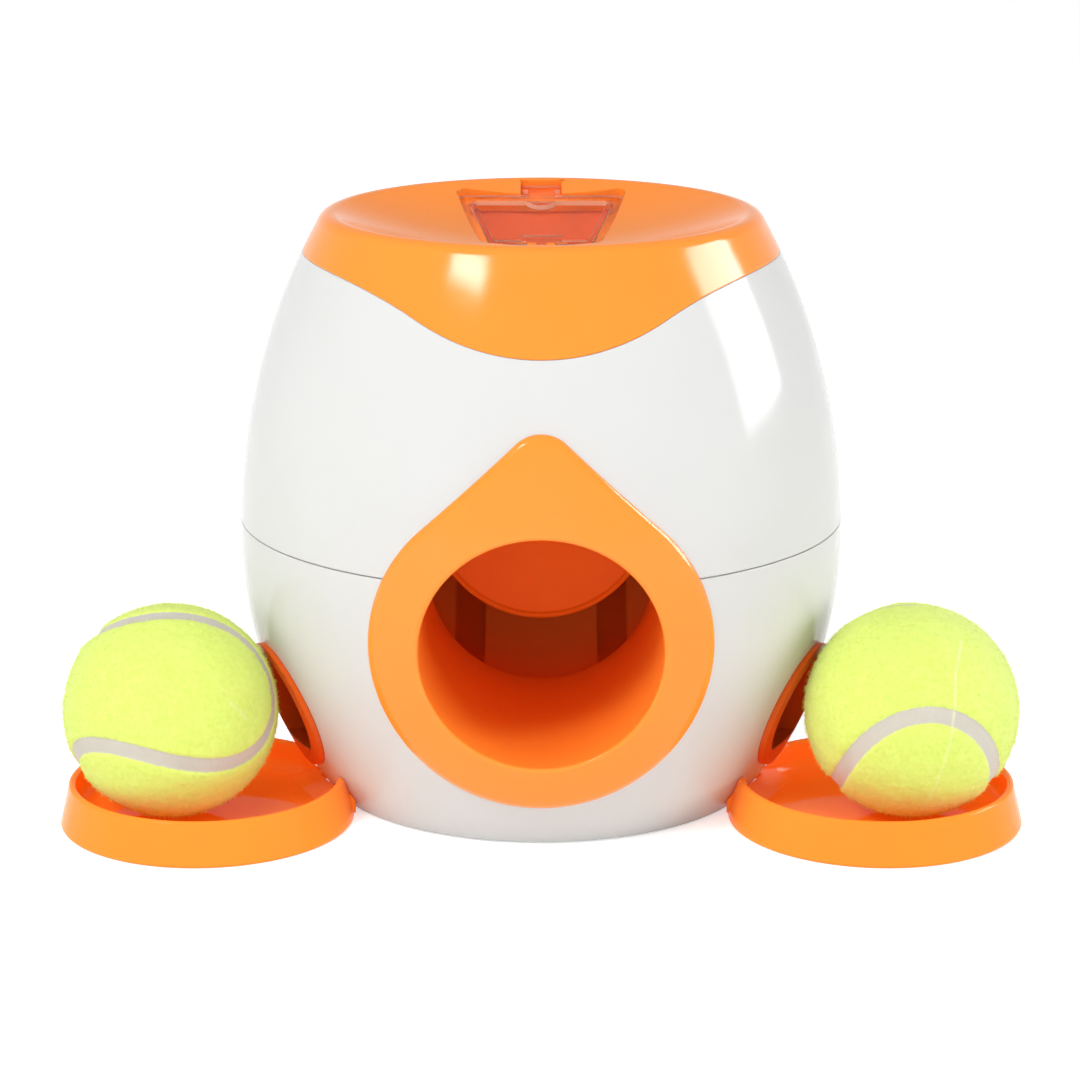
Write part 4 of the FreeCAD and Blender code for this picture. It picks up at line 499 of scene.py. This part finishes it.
def nap_tree():
    """Geometry Nodes: short fibres that stand and lean all over a felt cover, but not on its seam."""
    tree = bpy.data.node_groups.new("felt_nap", "GeometryNodeTree")
    face = tree.interface
    face.new_socket("Cover", in_out="INPUT", socket_type="NodeSocketGeometry")
    sizes = (("Fibres per m2", "Float", 900000.0), ("Length", "Float", 1.3 * MM),
             ("Thickness", "Float", 0.07 * MM), ("Lean", "Float", 1.15), ("Seam half width", "Float", 2.85),
             ("Seed", "Int", 5))
    for label, kind, value in sizes:
        face.new_socket(label, in_out="INPUT", socket_type="NodeSocket" + kind).default_value = value
    face.new_socket("Felt", in_out="INPUT", socket_type="NodeSocketMaterial")
    face.new_socket("Nap", in_out="OUTPUT", socket_type="NodeSocketGeometry")
    given = add(tree, "NodeGroupInput").outputs
    seam = add(tree, "GeometryNodeInputNamedAttribute", {"Name": "seam"}, data_type="FLOAT")
    clear = add(tree, "FunctionNodeCompare", {0: seam.outputs[0], 1: given["Seam half width"]},
                data_type="FLOAT", operation="GREATER_THAN")
    roots = add(tree, "GeometryNodeDistributePointsOnFaces", {
        "Mesh": given["Cover"], "Selection": clear.outputs[0], "Density": given["Fibres per m2"],
        "Seed": given["Seed"]}, distribute_method="RANDOM")
    fibre = add(tree, "GeometryNodeMeshCone", {
        "Vertices": 3, "Radius Top": 0.0, "Radius Bottom": given["Thickness"], "Depth": given["Length"]},
        fill_type="NONE")
    low = add(tree, "ShaderNodeMath", {0: given["Lean"], 1: -1.0}, operation="MULTIPLY")
    least = add(tree, "ShaderNodeCombineXYZ", {0: low.outputs[0], 1: low.outputs[0], 2: 0.0})
    most = add(tree, "ShaderNodeCombineXYZ", {0: given["Lean"], 1: given["Lean"], 2: 6.28})
    tilt = add(tree, "FunctionNodeRandomValue", {
        0: least.outputs[0], 1: most.outputs[0], "Seed": given["Seed"]}, data_type="FLOAT_VECTOR")
    lean = add(tree, "FunctionNodeEulerToRotation", {0: tilt.outputs[0]})
    turned = add(tree, "FunctionNodeRotateRotation", {0: roots.outputs["Rotation"], 1: lean.outputs[0]},
                 rotation_space="LOCAL")
    span = add(tree, "FunctionNodeRandomValue", {2: 0.5, 3: 1.2, "Seed": given["Seed"]}, data_type="FLOAT")
    fibres = add(tree, "GeometryNodeInstanceOnPoints", {
        "Points": roots.outputs["Points"], "Instance": fibre.outputs["Mesh"], "Rotation": turned.outputs[0],
        "Scale": span.outputs[1]})
    real = add(tree, "GeometryNodeRealizeInstances", {0: fibres.outputs[0]})
    felted = add(tree, "GeometryNodeSetMaterial", {"Geometry": real.outputs[0], "Material": given["Felt"]})
    add(tree, "NodeGroupOutput", {0: felted.outputs[0]})
    return tree


def grown(name, source, tree, body, slot, **amounts):
    """The plain mesh that a Geometry Nodes tree makes on a piece, as a piece of its own."""
    piece = placed(name, source.data.copy())
    modifier = piece.modifiers.new("grow", "NODES")
    modifier.node_group = tree
    for item in tree.interface.items_tree:
        if item.in_out == "INPUT" and item.name in amounts:
            modifier[item.identifier] = amounts[item.name]
    scene_now = bpy.context.evaluated_depsgraph_get()
    mesh = bpy.data.meshes.new_from_object(piece.evaluated_get(scene_now))
    piece.modifiers.clear()
    piece.data = mesh
    mesh.name = name
    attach(piece, body)
    return piece


# Where a thin line of flash crosses the right ball's front, as directions from its middle.
FLASH = (
    (0.380, -0.447, 0.810), (0.345, -0.607, 0.715), (0.299, -0.762, 0.574), (0.288, -0.863, 0.416),
    (0.286, -0.924, 0.255), (0.259, -0.962, 0.088), (0.190, -0.952, -0.239), (0.054, -0.742, -0.668),
)
# The left ball's short crease, low on the side that faces the barrel.
CREASE = ((0.62, -0.72, 0.31), (0.76, -0.64, 0.12))

left_ball = felt_ball("felt_left", -1, 0.7829, (-0.0715, 1.9092, 0.3609), CREASE,
                      "ball_felt_left", "left_ball")
right_ball = felt_ball("felt_right", 1, 0.8387, (0.2053, 0.6758, -2.2263), FLASH,
                       "ball_felt_right", "right_ball")
nap = nap_tree()
grown("nap_left", left_ball, nap, "left_ball", "ball_felt", Seed=5, Felt=fibre)
grown("nap_right", right_ball, nap, "right_ball", "ball_felt", Seed=11, Felt=fibre)


# ---------------------------------------------------------------- floor, light and camera

def white_backdrop(name, lift):
    """A pale surface that shows white itself, so that only shadows stand out on it."""
    material, tree = empty_material(name)
    ray = add(tree, "ShaderNodeLightPath").outputs
    glossy = add(tree, "ShaderNodeMath", {0: ray["Is Camera Ray"], 1: ray["Is Glossy Ray"]},
                 operation="MAXIMUM")
    seen = add(tree, "ShaderNodeMath", {0: glossy.outputs[0], 1: ray["Is Transmission Ray"]},
               operation="MAXIMUM")
    strength = add(tree, "ShaderNodeMath", {0: seen.outputs[0], 1: lift}, operation="MULTIPLY")
    paint = add(tree, "ShaderNodeBsdfDiffuse", {"Color": linear("#F4F4F4")})
    painted_and_backdrop_glow = add(tree, "ShaderNodeEmission", {"Color": linear("#FFFFFF"), "Strength": strength.outputs[0]})
    both = add(tree, "ShaderNodeAddShader", {0: paint.outputs[0], 1: painted_and_backdrop_glow.outputs[0]})
    add(tree, "ShaderNodeOutputMaterial", {"Surface": both.outputs[0]})
    return material


FLOOR_REACH = 4.0
floor_mesh = bpy.data.meshes.new("floor")
floor_corners = [(x * FLOOR_REACH, y * FLOOR_REACH, 0) for x, y in ((-1, -1), (1, -1), (1, 1), (-1, 1))]
floor_mesh.from_pydata(floor_corners, [], [(0, 1, 2, 3)])
floor_mesh.materials.append(white_backdrop("white_paper", 0.55))
floor = placed("floor", floor_mesh)

# The room: white to the camera, a ceiling that darkens upward in reflections, and an even, weaker fill.
world = bpy.data.worlds.new("studio")
bpy.context.scene.world = world
world.use_nodes = True
room = world.node_tree
room.nodes.clear()
rays = add(room, "ShaderNodeLightPath").outputs
mirrored = add(room, "ShaderNodeMath", {0: rays["Is Glossy Ray"], 1: rays["Is Transmission Ray"]},
               operation="MAXIMUM")
heading = add(room, "ShaderNodeTexCoord").outputs["Generated"]
height = add(room, "ShaderNodeSeparateXYZ", {0: heading}).outputs["Z"]
ceiling = add(room, "ShaderNodeMapRange", {
    "Value": height, "From Min": 0.0, "From Max": 0.4, "To Min": 1.0, "To Max": 0.4})
walls = add(room, "ShaderNodeBackground", {"Color": linear("#FFFFFF"), "Strength": 0.45})
studio = add(room, "ShaderNodeBackground", {"Color": linear("#FFFFFF"), "Strength": ceiling.outputs[0]})
backdrop = add(room, "ShaderNodeBackground", {"Color": linear("#FFFFFF"), "Strength": 1.0})
bounced = add(room, "ShaderNodeMixShader", {
    0: mirrored.outputs[0], 1: walls.outputs[0], 2: studio.outputs[0]})
chosen = add(room, "ShaderNodeMixShader", {
    0: rays["Is Camera Ray"], 1: bounced.outputs[0], 2: backdrop.outputs[0]})
add(room, "ShaderNodeOutputWorld", {"Surface": chosen.outputs[0]})


# Height that the lamps are aimed at, in metres.
AIM = 0.1


def soft_box(name, azimuth, elevation, distance, width, height, radiance, diffuse=True, glossy=True):
    """A rectangular lamp aimed at the object; azimuth 0 is the front and 90 the right, sizes are in metres.

    One without diffuse shows in reflections only; one without glossy lights and isn't reflected.
    """
    lamp = bpy.data.lights.new(name, "AREA")
    lamp.shape = "RECTANGLE"
    lamp.size = width
    lamp.size_y = height
    lamp.energy = radiance * math.pi * width * height
    box = placed(name, lamp)
    turn, rise = math.radians(azimuth), math.radians(elevation)
    direction = Vector((math.cos(rise) * math.sin(turn), -math.cos(rise) * math.cos(turn), math.sin(rise)))
    box.location = Vector((0, 0, AIM)) + direction * distance
    box.rotation_euler = direction.to_track_quat("Z", "Y").to_euler()
    box.visible_diffuse = diffuse
    box.visible_glossy = glossy


soft_box("key_box", -41, 42.9, 1.6, 0.43, 0.16, 32.0, diffuse=False)
soft_box("key_light", -38, 41, 1.6, 0.43, 0.3, 16.5, glossy=False)
soft_box("side_box", 98.5, 20.2, 1.7, 0.8, 0.85, 18.0, diffuse=False)
soft_box("top_light", -20, 62, 1.6, 1.0, 0.8, 3.0, glossy=False)
soft_box("left_fill", -58, 5, 1.6, 1.2, 0.4, 3.4, glossy=False)
soft_box("right_fill", 72, 5, 1.6, 1.2, 0.4, 7.2, glossy=False)
soft_box("front_fill", -5, 5, 1.6, 1.0, 0.4, 1.8, glossy=False)

camera = bpy.data.cameras.new("camera")
camera.lens = 110.67
camera.sensor_width = 36
camera.clip_start = 0.05
camera.shift_x = -0.0011
eye = placed("camera", camera)
eye.location = (0, -1.0, 0.343)
# It looks down by 14.95 degrees.
eye.rotation_euler = (math.radians(90 - 14.95), 0, 0)
bpy.context.scene.camera = eye
bpy.context.scene.view_settings.view_transform = "Standard"
